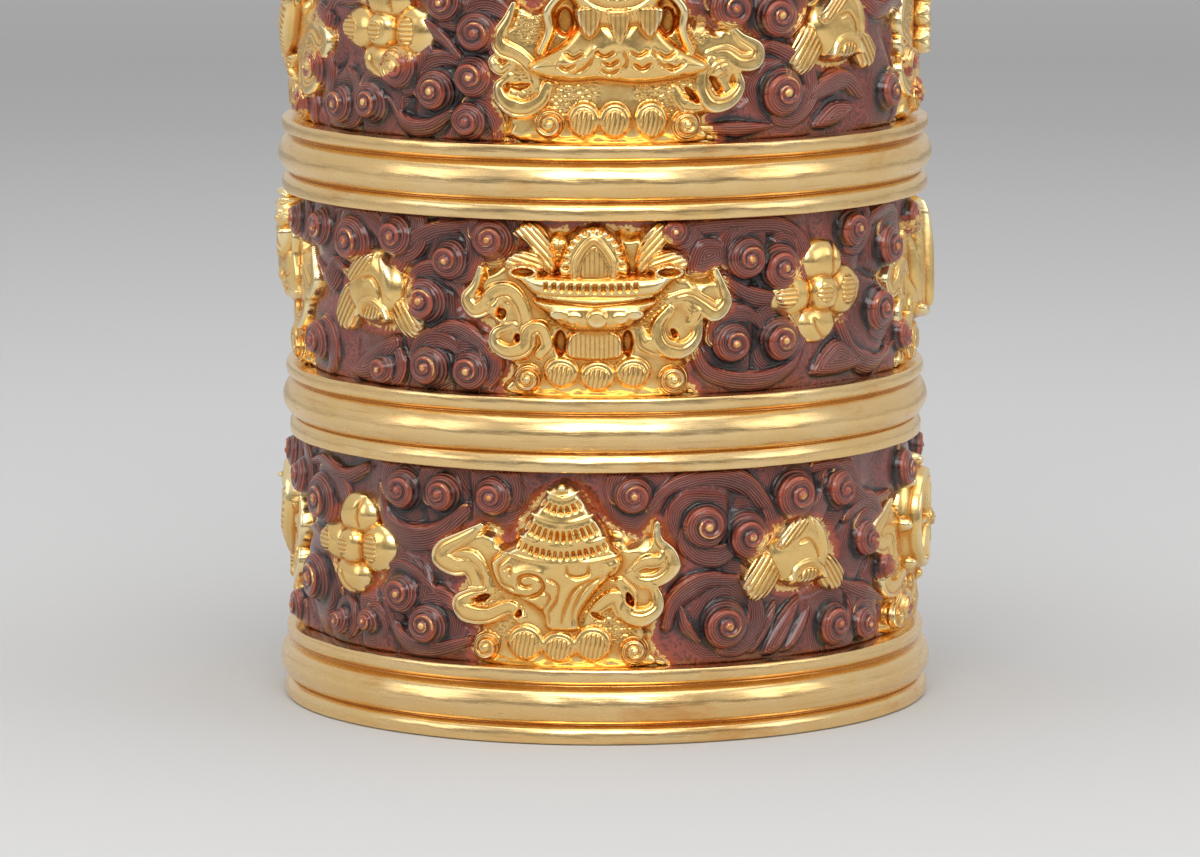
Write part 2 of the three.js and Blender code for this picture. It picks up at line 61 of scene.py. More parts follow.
# The relief, in millimetres
SUNK = -9.0  # lower than any surface
FILLET = 0.25  # where two forms meet
COARSE_STEP = 99  # leaves an outline with one point between two corners
CHASED_LINE = 0.57  # from one chased line to the next
LOBE_STEP = 0.8  # the most that two lobes of the ground differ by

# A volute
COIL_RATIO = 0.42  # of its radius, left after each turn
COIL_CREST = 0.35
COIL_HOLLOW = 0.6
HOLLOW_PHASE = 0.78  # where the hollow is deepest, in turns after the crest
SHOULDER = 0.8
FLANK = 1.45  # how far its mound runs out, in radii
BEAD_RADIUS = 0.21  # in radii of the volute
BEAD_LIFT = 0.6

# What each place of a relief carries for the finishes, with its value on bare ground: the lane and the
# strength of its chased lines, how far its colour is rubbed off, and how near it is to a coil's crest and to
# the dip beside it
MARKS = {"lane": 0.0, "chase": 0.0, "rub": 0.0, "crest": -1.0, "dip": -1.0}


def ramp(value, low, high):
    """0 below low, 1 above high and a smooth S between them."""
    t = np.clip((value - low) / (high - low), 0, 1)
    return t * t * (3 - 2 * t)


def bell(value, breadth):
    """1 where the value is 0, falling off smoothly to both sides."""
    return np.exp(-((value / breadth) ** 2))


def rounded(value, power):
    """A rounded section: 1 at 0, and 0 from 1 on. The higher the power, the flatter its top."""
    return np.sqrt(np.clip(1 - value**power, 0, 1))


def flowing(points, closed=False, step=0.4):
    """A smooth line through the points, as points about a step apart."""
    p = np.array(points, float)
    before, after = (p[-1:], p[:2]) if closed else (2 * p[:1] - p[1:2], 2 * p[-1:] - p[-2:-1])
    p = np.concatenate([before, p, after])
    line = []
    for a, b, c, d in zip(p, p[1:], p[2:], p[3:]):
        t = np.arange(0, 1, 1 / max(2, math.ceil(np.linalg.norm(c - b) / step)))[:, None]
        bend, twist = 2 * a - 5 * b + 4 * c - d, 3 * b - a - 3 * c + d
        line.append(b + (c - a) * t / 2 + bend * t**2 / 2 + twist * t**3 / 2)
    return np.concatenate(line if closed else [*line, p[-2:-1]])


def length_of(line):
    return np.linalg.norm(np.diff(line, axis=0), axis=1).sum()


def beside(line, x, z):
    """For each place, the share along the line of its nearest point, and its distance from it, negative on
    the right."""
    gap = (x[..., None] - line[:, 0]) ** 2 + (z[..., None] - line[:, 1]) ** 2
    nearest = gap.argmin(-1)
    ahead = np.gradient(line, axis=0)
    ahead /= np.maximum(np.linalg.norm(ahead, axis=1, keepdims=True), 1e-9)
    dx, dz = x - line[nearest, 0], z - line[nearest, 1]
    side = ahead[nearest, 0] * dz - ahead[nearest, 1] * dx
    along = ahead[nearest, 0] * dx + ahead[nearest, 1] * dz
    share = nearest / (len(line) - 1) + np.clip(along, -0.3, 0.3) / length_of(line)
    return np.clip(share, 0, 1), np.where(side < 0, -1, 1) * np.sqrt(np.maximum(gap.min(-1), side**2))


def within(line, x, z):
    """Whether each place is inside a closed line."""
    inside = np.zeros(x.shape, bool)
    for (ax, az), (bx, bz) in zip(line, np.roll(line, -1, axis=0)):
        if az != bz:
            inside ^= ((az > z) != (bz > z)) & (x < (bx - ax) * (z - az) / (bz - az) + ax)
    return inside


def depth_within(line, x, z):
    """Whether each place is inside a closed line, and how far from the line it is there."""
    inside = within(line, x, z)
    return inside, np.where(inside, np.abs(beside(line, x, z)[1]), 0)


class Relief:
    """Heights off the wall on a grid of x round it and z up it, and the marks at the same places."""

    def __init__(self, left, right, bottom, top, pitch, ground=0.0, period=0.0):
        columns = round((right - left) / pitch)
        self.xs = np.linspace(left, right, columns, endpoint=not period)
        self.zs = np.linspace(bottom, top, round((top - bottom) / pitch) + 1)
        self.x, self.z = np.meshgrid(self.xs, self.zs)
        self.height = np.full(self.x.shape, float(ground))
        self.marks = {key: np.full(self.x.shape, bare) for key, bare in MARKS.items()}
        self.period = period

    def windows(self, points, margin):
        """The part of the grid near these points, once for each place where the pattern repeats."""
        low, high = np.min(points, axis=0) - margin, np.max(points, axis=0) + margin
        rows = slice(*np.searchsorted(self.zs, (low[1], high[1])))
        for shift in (-self.period, 0, self.period) if self.period else (0,):
            columns = slice(*np.searchsorted(self.xs, (low[0] + shift, high[0] + shift)))
            if rows.start < rows.stop and columns.start < columns.stop:
                where = (rows, columns)
                yield where, self.x[where] - shift, self.z[where]

    def lay(self, where, height, **marks):
        """Raises the surface to a height where that is above it, with a small fillet at the join."""
        old = self.height[where].copy()
        self.height[where] = (old + height + np.sqrt((old - height) ** 2 + FILLET**2)) / 2
        for key, bare in MARKS.items():
            self.marks[key][where] = np.where(height > old, marks.get(key, bare), self.marks[key][where])

    def cut(self, where, depth, share):
        """Lowers the surface, and marks the share of each place that is dipped."""
        self.height[where] -= depth
        self.marks["dip"][where] = np.maximum(self.marks["dip"][where], 2 * share - 1)

    def strip(self, points, width, lift, ends=(1, 1), lip=0.0, rungs=0.0, chase=0.0, closed=False, lean=0.0,
              flat=3, seam=0.0):
        """A rounded strip along a line. Its ends are shares of its width; a lip raises both its edges, and
        rungs are spaced along it. It leans towards its left, its top is the flatter the higher flat is, and a
        seam is engraved along it, off its middle."""
        line = flowing(points, closed)
        length = length_of(line)
        for where, x, z in self.windows(line, width / 2 + 0.5):
            share, side = beside(line, x, z)
            half = width / 2 * np.interp(share, [0, 0.5, 1], [ends[0], 1, ends[1]])
            across = side / half
            out = np.abs(across)
            shape = rounded(out, flat) * np.interp(half / (width / 2), [0, 1], [0.55, 1])
            shape *= 1 + lean * np.clip(across, -1, 1)
            height = lift * shape + lip * bell(out - 0.74, 0.16)
            if rungs:
                gap = ramp(np.sin(2 * np.pi * share * length / rungs), -0.2, 0.7)
                height -= 0.32 * gap * ramp(0.84 - out, 0, 0.15)
            from_middle = np.abs(share - 0.5)
            cut = bell(across + 0.42, 0.13) * ramp(0.5 - from_middle, 0.02, 0.1) if seam else 0
            height -= seam * cut
            rub = 0.9 * bell(across - 0.72, 0.1) + 0.5 * ramp(from_middle, 0.42, 0.5)
            self.lay(where, np.where(out < 1, height, SUNK), lane=side, chase=chase, rub=rub, dip=2 * cut - 1)

    def pillow(self, points, lift, edge=2.0, crown=0.0, smooth=True, lines=0.0, heading=0.0, contour=0.0,
               chase=0.0, ragged=0.0):
        """A form over a closed outline: a rounded edge, and a crown that rises on towards its middle. Its
        lines are spaced across a heading in degrees, a contour is engraved that far inside the outline, and
        ragged is how far the outline strays."""
        line = flowing(points, True) if smooth else flowing(points, True, COARSE_STEP)
        for where, x, z in self.windows(line, 0.6):
            inside, depth = depth_within(line, x, z)
            rim = np.clip(1 - depth / edge, 0, 1)
            height = lift * np.sqrt(1 - rim**2)
            if ragged:
                wave = np.sin(0.9 * x + 0.4 * z + np.sin(0.8 * z)) * np.sin(0.8 * z - 0.4 * x + 1)
                depth = depth - ragged * (0.5 + 0.5 * wave)
                inside = depth > 0
                height = lift * ramp(depth, 0, edge)
            height = height + crown * ramp(depth, 0, max(depth.max(), edge))
            if contour:
                height -= 0.4 * bell(depth - contour, 0.3)
            lane, chased = depth, chase
            if lines:
                turn = math.radians(heading)
                lane = (x * math.sin(turn) - z * math.cos(turn)) * (CHASED_LINE / lines)
                chased = ramp(depth, 0.4, 0.8)
            self.lay(where, np.where(inside, height, SUNK), lane=lane, chase=chased)

    def ball(self, x, z, radius, lift):
        """A domed boss."""
        for where, gx, gz in self.windows([(x, z)], radius + 0.5):
            reach = np.hypot((gx - x) / radius, (gz - z) / radius)
            self.lay(where, np.where(reach < 1, lift * rounded(reach, 2.4), SUNK))

    def groove(self, points, width=1.0, depth=0.5):
        """An engraved line, sharper on its left and swelling a little on its right."""
        line = flowing(points)
        for where, x, z in self.windows(line, width * 2.5):
            share, side = beside(line, x, z)
            fade = rounded(2 * share - 1, 6)
            cut = bell(side, width * 0.4) - 0.35 * bell(side + width * 1.1, width * 0.7)
            self.cut(where, depth * fade * cut, fade * bell(side, width * 0.42))

    def hollow(self, points, floor, edge=0.8):
        """A sunk place: the surface falls to a floor inside a closed outline."""
        line = flowing(points, True)
        for where, x, z in self.windows(line, 0.3):
            fall = ramp(depth_within(line, x, z)[1], 0, edge)
            old = self.height[where]
            self.height[where] = old + (np.minimum(old, floor) - old) * fall

    def volute(self, x, z, radius, lift, spin=1, start=0.0, flank=FLANK):
        """A scroll's end: a mound like a snail's shell, with a spiral crest that winds in to a hooked bead.
        Its flank runs out to that many times its radius."""
        for where, gx, gz in self.windows([(x, z)], radius * flank + 0.5):
            dx, dz = gx - x, gz - z
            reach = np.hypot(dx, dz) / radius
            turn = spin * np.arctan2(dz, dx) / (2 * np.pi) - start / 360
            phase = (np.log(np.maximum(reach, 0.08)) / math.log(COIL_RATIO) - turn) % 1
            coil = ramp(reach, 0.08, 0.24) * ramp(1.2 - reach, 0, 0.15)
            hollow = ramp(phase, 0.35, 0.65) * ramp(1 - phase, 0.0, 0.25)
            height = lift * (1 - ramp(reach, 0.5, flank)) + SHOULDER * ramp(1.08 - reach, 0, 0.2)
            height += coil * (COIL_CREST * bell(np.minimum(phase, 1 - phase), 0.16) - COIL_HOLLOW * hollow)
            height += BEAD_LIFT * rounded(reach / BEAD_RADIUS, 2)
            waves = (np.cos(2 * np.pi * (phase - at)) for at in (0, HOLLOW_PHASE))
            crest, dip = (np.where(coil > 0, wave, -1) for wave in waves)
            crest = crest - 0.3 * ramp(reach, 0.5, 0.9)
            chase = ramp(reach, 0.3, 0.6) * (1 - 0.5 * ramp(crest, 0.3, 0.9))
            crest, dip = (1 - (1 - mark) / np.maximum(coil, 0.05) for mark in (crest, dip))
            height = np.where(reach < flank, height, SUNK)
            lane = reach * radius + 2 * CHASED_LINE * turn
            rub = ramp(0.27 - reach, 0, 0.14)
            self.lay(where, height, lane=lane, chase=chase, rub=rub, crest=crest, dip=dip)

    def hatch(self, points, width, spacing, depth=0.4):
        """Strokes cut across a line, spaced along it."""
        line = flowing(points)
        length = length_of(line)
        for where, x, z in self.windows(line, width / 2 + 0.3):
            share, side = beside(line, x, z)
            stroke = ramp(np.sin(2 * np.pi * share * length / spacing), -0.3, 0.6)
            cut = ramp(width / 2 - np.abs(side), 0, 0.5) * ((share > 0) & (share < 1))
            self.cut(where, depth * stroke * cut, stroke * cut)

    def basins(self, volutes, lift, random):
        """The ground round the volutes: a shallow lobe for each, each at its own level and chased in
        rings."""
        nearest = np.full((2, *self.x.shape), 1e9)
        level = np.zeros(self.x.shape)
        for x, z, radius, *_ in volutes:
            wave, own = random.uniform(0, 6.3), random.uniform(0, LOBE_STEP)
            for shift in (-self.period, 0, self.period):
                dx, dz = self.x - shift - x, self.z - z
                gap = np.hypot(dx, dz) - radius + 0.9 * np.sin(3 * np.arctan2(dz, dx) + wave)
                closer = gap < nearest[0]
                nearest[1] = np.where(closer, nearest[0], np.minimum(nearest[1], gap))
                nearest[0] = np.where(closer, gap, nearest[0])
                level = np.where(closer, own, level)
        crease = 1 - bell(nearest[1] - nearest[0], 1.5)
        self.height += (lift + level) * crease * ramp(10 - nearest[0], 0, 8)
        self.marks["lane"][:] = nearest[0]
        self.marks["chase"][:] = ramp(crease, 0.2, 0.6) * ramp(4.5 - nearest[0], 0, 2.5)

    def stipple(self, places, spacing, depth, random):
        """Punches small pits over the places that the mask marks."""
        cells = np.stack([self.x, self.z], -1) / spacing
        cell = np.floor(cells).astype(int)
        jitter = random.uniform(0.2, 0.8, (64, 64, 2))
        pit = np.zeros(self.x.shape)
        for i in (-1, 0, 1):
            for j in (-1, 0, 1):
                near = cell + (i, j)
                gap = np.linalg.norm(near + jitter[near[..., 0] % 64, near[..., 1] % 64] - cells, axis=-1)
                pit = np.maximum(pit, 1 - ramp(gap, 0.15, 0.5))
        self.cut(..., depth * pit * places, 0.8 * pit * places)


def softened(values):
    """Each value averaged with its neighbours, so that steep edges don't show the grid's steps."""
    for _ in range(2):
        padded = np.pad(values, ((1, 1), (0, 0)), mode="edge")
        values = ((padded[:-2] + padded[2:]) / 4 + values / 2).T
    return values


def blurred(values, reach, around=False):
    """Each value averaged with its neighbours within a reach, three times over; around joins the rows'
    ends."""
    size = 2 * reach + 1
    for axis in (0, 1):
        margins = [(0, 0), (0, 0)]
        margins[axis] = (reach + 1, reach)
        mode = "wrap" if around and axis == 1 else "edge"
        places = np.arange(values.shape[axis])
        for _ in range(3):
            total = np.cumsum(np.pad(values, margins, mode=mode), axis=axis)
            values = (np.take(total, places + size, axis=axis) - np.take(total, places, axis=axis)) / size
    return values


# Each tier's scrolls, as read off the front of the pot, in millimetres: x from the front emblem's axis and z
# above the moulding's lip. They fill one half of the tier, and the other half repeats them. A volute is x, z,
# radius, which way it winds in and the angle where it starts; a band is its line and its width.
SCROLLS = [
    {
        "volutes": [
            (-39, 38.5, 4.7, 1, 200), (-28.5, 38.5, 4.3, 1, 200), (-16, 38.5, 4.4, -1, 20),
            (15.3, 39.3, 4.3, 1, 180), (31.5, 32, 5.2, -1, 150), (41.5, 29, 5.2, -1, 60),
            (54, 37.5, 5.6, -1, 120), (67.5, 37.2, 4.6, 1, 90), (77, 24.5, 4.4, 1, 120), (86, 17, 3.6, 1, 60),
            (36, 9, 5.4, -1, 80), (65.5, 6.5, 5, -1, 90), (76, 5, 3.9, 1, 120), (-39.5, 14.5, 4.6, -1, 60),
            (-32.5, 8, 4.8, 1, 150), (-69, 33, 6, 1, 100), (-73, 14, 6, 1, 150), (-60.5, 5.5, 3.2, -1, 60),
            (-50, 7, 3, 1, 90), (-84, 36, 4.5, -1, 0), (98, 38, 5, 1, 90), (-97, 40, 4.5, -1, 60),
            (97, 6, 4, -1, 0), (-88, 5, 4, 1, 0),
        ],
        "bands": [
            ([(19, 36), (24, 41), (33, 43.3), (41, 41), (46, 36), (50, 30)], 5),
            ([(23, 9), (25, 15), (31, 19), (39, 19)], 5),
            ([(26, 13), (27, 9), (30, 5.5)], 2.6),
            ([(-47, 38), (-45, 31), (-38, 27.5), (-30, 29), (-23, 35)], 6),
            ([(-46, 12), (-41, 4.5), (-33, 1.8), (-22, 5)], 4.5),
            ([(-46, 20), (-40, 20.5), (-33, 17), (-28, 12)], 4),
            ([(60, 43), (66, 42.5), (72, 36), (80, 32.5), (90, 33)], 5.5),
            ([(71, 30), (79, 33), (88, 26)], 5),
            ([(69, 15), (76, 12), (86, 9)], 5),
            ([(-80, 24), (-74, 24), (-66, 20), (-62, 12)], 5),
            ([(-78, 40), (-70, 41), (-60, 39), (-52, 42)], 4.5),
        ],
        "leaves": [
            [(41, 3), (44, 2), (48.5, 8), (49.5, 13.5), (45, 9)],
            [(45.5, 2), (50, 1.6), (54, 7), (56, 14), (50.5, 10)],
            [(51, 1.8), (55, 2.6), (58.5, 8), (59, 12.5), (55.5, 8.5)],
        ],
    },
    {
        "volutes": [
            (34, 30.5, 4.9, 1, 180), (42.5, 28, 5.2, -1, 60), (30.5, 11.5, 4.6, 1, 160),
            (42.5, 11.5, 4.8, -1, 40), (64.5, 35.2, 4.4, -1, 90), (80, 29.5, 5, 1, 120),
            (75, 16, 5.3, -1, 100), (-23.5, 35.3, 4.5, 1, 160), (-33.5, 30, 4.4, -1, 60),
            (-40, 20.5, 5.2, 1, 140), (-39, 5.5, 4.7, 1, 150), (-28.5, 5.2, 4.5, -1, 30),
            (-48, 34.5, 4.6, -1, 60), (-62.5, 32.5, 5.6, 1, 120), (-76, 34, 4.6, -1, 90),
            (-78, 8, 4.5, 1, 60), (-52, 3.8, 3.4, -1, 60), (88, 8, 4, 1, 60), (97, 34, 4.4, 1, 60),
            (-93, 34, 4.2, -1, 60), (17, 37.3, 3.4, -1, 60),
        ],
        "bands": [
            ([(14, 36), (22, 37.5), (34, 38), (45, 36.5), (52, 30)], 4.6),
            ([(29, 26), (34, 22.5), (40, 21), (47, 22)], 4),
            ([(21, 13), (25, 5), (36, 2.4), (46, 5), (50.5, 12)], 4.2),
            ([(61, 14), (66, 6), (75, 3), (84, 6)], 4.6),
            ([(68, 30), (73, 36), (82, 37.5), (90, 34)], 4.2),
            ([(-53, 18), (-49, 27), (-40, 35.5), (-29, 38)], 5),
            ([(-40, 12), (-33, 14.5), (-26, 11), (-22, 5)], 4.4),
            ([(-80, 26), (-74, 22), (-70, 26), (-66, 24)], 5),
            ([(-70, 38), (-62, 39.5), (-55, 37)], 3),
        ],
        "leaves": [
            [(20, 27), (22, 35), (29, 35), (29, 29)], [(-65, 2), (-57, 1), (-48, 8), (-49, 12), (-58, 8)],
            [(52, 3), (62, 2), (70, 4), (60, 10)],
        ],
    },
    {
        "volutes": [
            (-31, 24.5, 4.8, 1, 140), (-32, 14.5, 4.6, -1, 60), (-33, 4.6, 4.2, 1, 90),
            (-41.5, 11, 4.7, 1, 180), (-51.5, 16, 5.2, -1, 60), (-60, 7.5, 4.7, 1, 120),
            (-71, 6, 4.4, -1, 60), (-39, 31, 4.4, -1, 90), (26, 30, 5.1, 1, 160), (37, 28, 5.1, -1, 40),
            (38.5, 10.5, 5.5, -1, 90), (75, 8, 4.6, 1, 60), (88, 14, 4.2, -1, 60), (-83, 14, 4.6, 1, 60),
            (-60, 38, 5, 1, 60), (-46, 40, 4.2, -1, 90), (-24, 39, 4.6, 1, 120), (22, 41, 4.2, -1, 60),
            (46, 39, 5, 1, 60), (62, 40, 4.4, -1, 60), (78, 37, 5, 1, 60), (-80, 36, 5, -1, 60),
            (97, 37, 4.4, 1, 90), (-97, 38, 4.2, -1, 30), (97, 6, 4, 1, 0), (-92, 5, 4, 1, 60),
        ],
        "bands": [
            ([(-58, 29), (-50, 27), (-42, 24), (-36, 19)], 4.4),
            ([(-55, 8), (-50, 3), (-44, 2.6), (-38, 6)], 4),
            ([(19, 3), (28, 2.6), (36, 2.8)], 3),
            ([(44, 5), (50, 10), (58, 12), (65, 8)], 5),
            ([(46, 12), (44, 20), (42, 22)], 3.4),
            ([(33, 20), (36, 21), (43, 17), (46, 11)], 3.6),
            ([(66, 30), (72, 27), (80, 28), (88, 24)], 5),
            ([(20, 35), (28, 37), (36, 36), (44, 32)], 3.6),
            ([(-78, 27), (-74, 30), (-66, 31), (-60, 29)], 4),
            ([(-36, 37), (-30, 33), (-26, 31)], 3.6),
        ],
        "leaves": [
            [(48, 2), (56, 2), (62, 6), (54, 7)], [(-80, 20), (-76, 26), (-82, 29), (-88, 24)],
        ],
    },
]
VOLUTE_LIFT = 3.9  # of a volute with the middle radius; larger ones stand out a little more
MIDDLE_RADIUS = 4.5
TAIL_LIFT = 2.2
BAND_LIFT = 2.4
BAND_BREADTH = 1.3  # of the widths above
LEAF_LIFT = 2.5
BASIN_LIFT = 0.9


def tail(x, z, radius, spin, start):
    """The line of the band that winds in to a volute, from its coil outwards."""
    line = []
    for t in np.linspace(0, 2.5, 6):
        reach, angle = radius * (0.86 + 0.42 * t), spin * (math.radians(start) - t)
        line.append((x + reach * math.cos(angle), z + reach * math.sin(angle)))
    return line


def scrollwork(tier, field, clear):
    """The painted scrolls between the emblems of a tier, over a ground that is even where it is not clear of
    them."""
    scrolls = SCROLLS[tier]
    field.basins(scrolls["volutes"], BASIN_LIFT, np.random.default_rng(tier))
    field.height *= clear
    for volute in scrolls["volutes"]:
        field.strip(tail(*volute), volute[2] * 1.2, TAIL_LIFT, ends=(1, 0.2), lip=0.2, chase=1)
    for outline in scrolls["leaves"]:
        field.pillow(outline, LEAF_LIFT, edge=2.6, chase=1)
    for line, width in scrolls["bands"]:
        field.strip(line, width * BAND_BREADTH, BAND_LIFT, ends=(0.4, 0.4), chase=1, lean=0.4)
    for x, z, radius, spin, start in scrolls["volutes"]:
        field.volute(x, z, radius, VOLUTE_LIFT + 0.15 * (radius - MIDDLE_RADIUS), spin, start)


def sided(side, points):
    """Points that are given for the right, mirrored to the left for side -1."""
    return [(side * x, z) for x, z in points]


# What each tier's emblems stand in: the outline of the gold behind them, the ribbons either side as lines
# with their widths, the holes through those, and the pods and knobs of the lotus seat
SETTINGS = [
    {
        "ground": [(-19, -0.6), (-20.5, 7), (-24, 11), (-25.8, 14), (-24.4, 17.5), (-23.2, 19.6), (-28, 21.5),
                   (-31, 24.4), (-28.5, 27.6), (-23, 30.2), (-18.8, 32.4), (-15.4, 31), (-12.5, 29), (-9, 35),
                   (-4, 40), (0, 42), (4, 40), (9, 34), (12, 31.5), (17, 29.6), (20.4, 33.6), (22.6, 29),
                   (25.4, 25), (24, 20.6), (21.4, 18.6), (22, 14.6), (20.4, 10), (20, 5), (21, -0.6)],
        "ribbons": [
            ([(-19, 31.6), (-23.4, 28.8), (-28, 26), (-28.6, 23.6), (-25.4, 21.8), (-22, 21.8), (-20.4, 18.6),
              (-21.4, 16.2)], 3.9),
            ([(-25.8, 24.4), (-22, 24.9), (-19.4, 23.4), (-17.6, 20.6)], 2.4),
            ([(-17.6, 21), (-17.2, 17), (-21, 15.8), (-23.8, 14), (-22.2, 11.6), (-17.4, 11.2), (-12, 13.4),
              (-9.6, 11)], 3.6),
            ([(20.6, 32.8), (20.8, 29), (23.2, 26), (23.6, 22.8), (20.8, 20.2), (17, 20), (14.8, 21.4)], 3.4),
            ([(14.4, 21.8), (17.6, 24), (21, 24.4), (22.8, 26.8)], 2.6),
            ([(18.4, 19.4), (20.4, 17), (20.4, 13.6), (17.4, 11.6), (14, 12.6), (14.6, 16.4), (12.4, 19.6)],
             3.4),
            ([(4.8, 9.8), (7.4, 13.6), (11.2, 16), (12.6, 12.8), (16, 10.6)], 3),
        ],
        "holes": [[(-21.4, 14.4), (-18.6, 16.2), (-16.4, 16), (-18.6, 14.2)],
                  [(13.8, 17.6), (15.2, 16.2), (15.4, 14), (13.6, 15.2)],
                  [(5.6, 12.9), (7.6, 12.6), (9.4, 11), (7, 11.2)],
                  [(-11.4, 11.4), (-9.6, 13.4), (-9.4, 11.4)]],
        "pods": [(-8.5, 5.6, 3.9, 1.1), (-1, 4.9, 3.8, 1.0), (6.4, 5.6, 4, 1.08)],
        "knobs": [(-17.4, 4.2, 3.9), (15.4, 4, 3.7)],
    },
    {
        "ground": [(-19, -0.6), (-19.6, 6), (-23.6, 11), (-24.4, 15.4), (-29, 17.6), (-31.4, 21), (-28, 25),
                   (-26.4, 29.4), (-23, 30), (-18, 33), (-9, 38), (0, 38.6), (9, 38), (16, 35.4), (19.6, 29),
                   (24, 27), (27, 28.9), (30.2, 24), (29.6, 19.4), (25.6, 16.6), (23, 11), (20, 5),
                   (20, -0.6)],
        "ribbons": [
            ([(-26.2, 28.6), (-27.4, 24.6), (-29.4, 21.6), (-27.4, 18.9), (-24.4, 20.2), (-22.4, 23),
              (-19.2, 23.6), (-16.6, 20.8), (-15.8, 16.8), (-17.4, 13.6)], 3.5),
            ([(-19.4, 20.4), (-21.4, 21.4), (-23, 19.4), (-20.8, 17)], 2),
            ([(-18.2, 16), (-22.2, 14.6), (-22.6, 11.6), (-19.4, 9.8), (-15.6, 11), (-14.6, 14.6),
              (-12, 15.4), (-10.8, 12), (-12.4, 9.6)], 3.2),
            ([(26.8, 28.2), (28, 24.4), (28.8, 21), (26.4, 18.6), (23.4, 20.6), (20.4, 22.4), (16.4, 21.8)],
             3.5),
            ([(19.4, 21), (21.6, 18.8), (20.8, 16.4)], 2.4),
            ([(23, 18), (22, 13), (18.6, 10.4), (14.6, 11.8), (13.6, 16), (16.2, 19.6)], 3.4),
            ([(9.4, 16), (10.6, 12.4), (14, 10)], 3),
        ],
        "holes": [[(-22.6, 17.8), (-20.6, 17.2), (-20, 19.2), (-21.8, 19.8)],
                  [(-18.4, 13.6), (-17.2, 14.2), (-16.8, 12.6), (-18, 12.2)],
                  [(16.2, 15.2), (17.4, 15.2), (18.2, 13.6), (17, 13.2)]],
        "pods": [(-7.6, 5.6, 3.7, 1.0), (0.3, 4.9, 3.7, 1.0), (8, 5.6, 3.7, 1.0)],
        "knobs": [(-15, 4, 3.8), (16.8, 3.9, 3.8)],
    },
    {
        "ground": [(-24, -0.6), (-25, 5), (-27.4, 9), (-26.6, 13), (-28.4, 16), (-27, 20), (-26.6, 24),
                   (-24.6, 28), (-22, 32), (-18, 31), (-15, 33), (-12, 40), (-6, 43.5), (6, 43.5), (12, 40),
                   (15.4, 31), (20, 27.4), (25.4, 26.8), (29, 25.4), (33.6, 20.6), (32, 16.4), (28.6, 15),
                   (29, 10), (24, 7), (20, 5), (20.5, -0.6)],
        "ribbons": [
            ([(-22.6, 31.2), (-24, 27.6), (-26, 24), (-25.2, 21.2), (-21.4, 19.4), (-18.4, 16.6),
              (-17.4, 12.6)], 3.3),
            ([(-24.4, 20.4), (-27, 18.6), (-25.4, 16.2), (-23, 17.6)], 2.4),
            ([(-23.4, 15), (-26, 12.6), (-24.4, 9), (-20.2, 7.6), (-16.4, 9.6), (-14.8, 13)], 3.4),
            ([(25.8, 26), (28.2, 23.2), (31.8, 20.8), (31.2, 18), (27.8, 17.8), (24.4, 20), (20.8, 19.6)],
             3.6),
            ([(26.2, 15.6), (24.4, 17.2), (22, 16), (20.4, 13)], 2.6),
            ([(27, 16.6), (28, 12.4), (25.4, 9.2), (21.4, 8.6), (19.2, 11.6), (19.2, 15.4), (21, 18.2)], 3.2),
            ([(12.6, 12.6), (15, 8.6), (19.4, 8)], 2.6),
        ],
        "holes": [[(-24, 13), (-21, 13.6), (-18.6, 13.2), (-21.4, 11.6)],
                  [(20.4, 14.6), (22, 14.6), (24.2, 11.6), (22.6, 11)],
                  [(15, 12), (16.2, 12.4), (18.6, 9.4), (17.4, 9)]],
        "pods": [(-7, 5.4, 3.4, 1.25), (-0.3, 5.3, 3.4, 1.25), (7.6, 5.4, 3.5, 1.25)],
        "knobs": [(-14.4, 4.4, 4), (15.4, 4.2, 3.9)],
    },
]
STIPPLED = ((-17, 13), (-17, 28), (17, 13), (17, 28), (-10, 12), (10, 12))  # on the third tier's gold grounds
STIPPLE_REACH = 7
GROUND_LIFT = 2.1
RIBBON_LIFT = 3.0
RIBBON_BREADTH = 1.45  # of the widths above
SEAT = [(-19, 0.3), (-13.5, 7.6), (-9, 10.2), (0, 9.4), (9, 10.2), (13.5, 7.6), (19, 0.3)]
SEAT_LIFT = 1.7
MOTIF_LIFT = 6.6


def arc(reach, z, sag, x=0):
    """A sagging line across the middle of an emblem."""
    return [(x + reach * t, z + sag * (2 * t * t - 1)) for t in np.linspace(-1, 1, 7)]


def oval(x, z, width, height):
    """An oval's outline, from its middle, half its width and half its height."""
    return [(x + width * math.cos(a), z + height * math.sin(a)) for a in np.arange(8) * math.pi / 4]


def setting(field, tier):
    """What every emblem of a tier has: a gold ground, stippled in places, ribbons either side and a lotus
    seat."""
    parts = SETTINGS[tier]
    random = np.random.default_rng(tier)
    field.pillow(parts["ground"], GROUND_LIFT, edge=2.6, ragged=1.2)
    for x, z in random.uniform((-16, 12), (16, 34), (7, 2)) if tier < 2 else STIPPLED:
        near = ramp(STIPPLE_REACH - np.hypot(field.x - x, field.z - z), 0, 2)
        field.stipple(near * (field.height > GROUND_LIFT - 0.4), 0.8, 0.3, random)
    for i, (line, width) in enumerate(parts["ribbons"]):
        lift = RIBBON_LIFT + 0.2 * (i % 3)
        field.strip(line, width * RIBBON_BREADTH, lift, ends=(0.35, 0.55), lip=0.2, flat=6, seam=0.35)
    for outline in parts["holes"]:
        field.hollow(outline, 0.8, 0.6)
    field.pillow(SEAT, SEAT_LIFT, edge=1.2)
    for x, z, radius in parts["knobs"]:
        field.volute(x, z, radius, 3.0, 1 if x < 0 else -1, 90, 1.15)
    for x, z, radius, tall in parts["pods"]:
        wide, high = radius * 1.1, radius * tall
        field.pillow(oval(x, z, wide, high), 3.0, edge=0.9)
        field.pillow(oval(x, z - 0.5, wide - 0.8, high - 0.8), 3.3, edge=0.8, crown=0.3, lines=1.0,
                     heading=80)


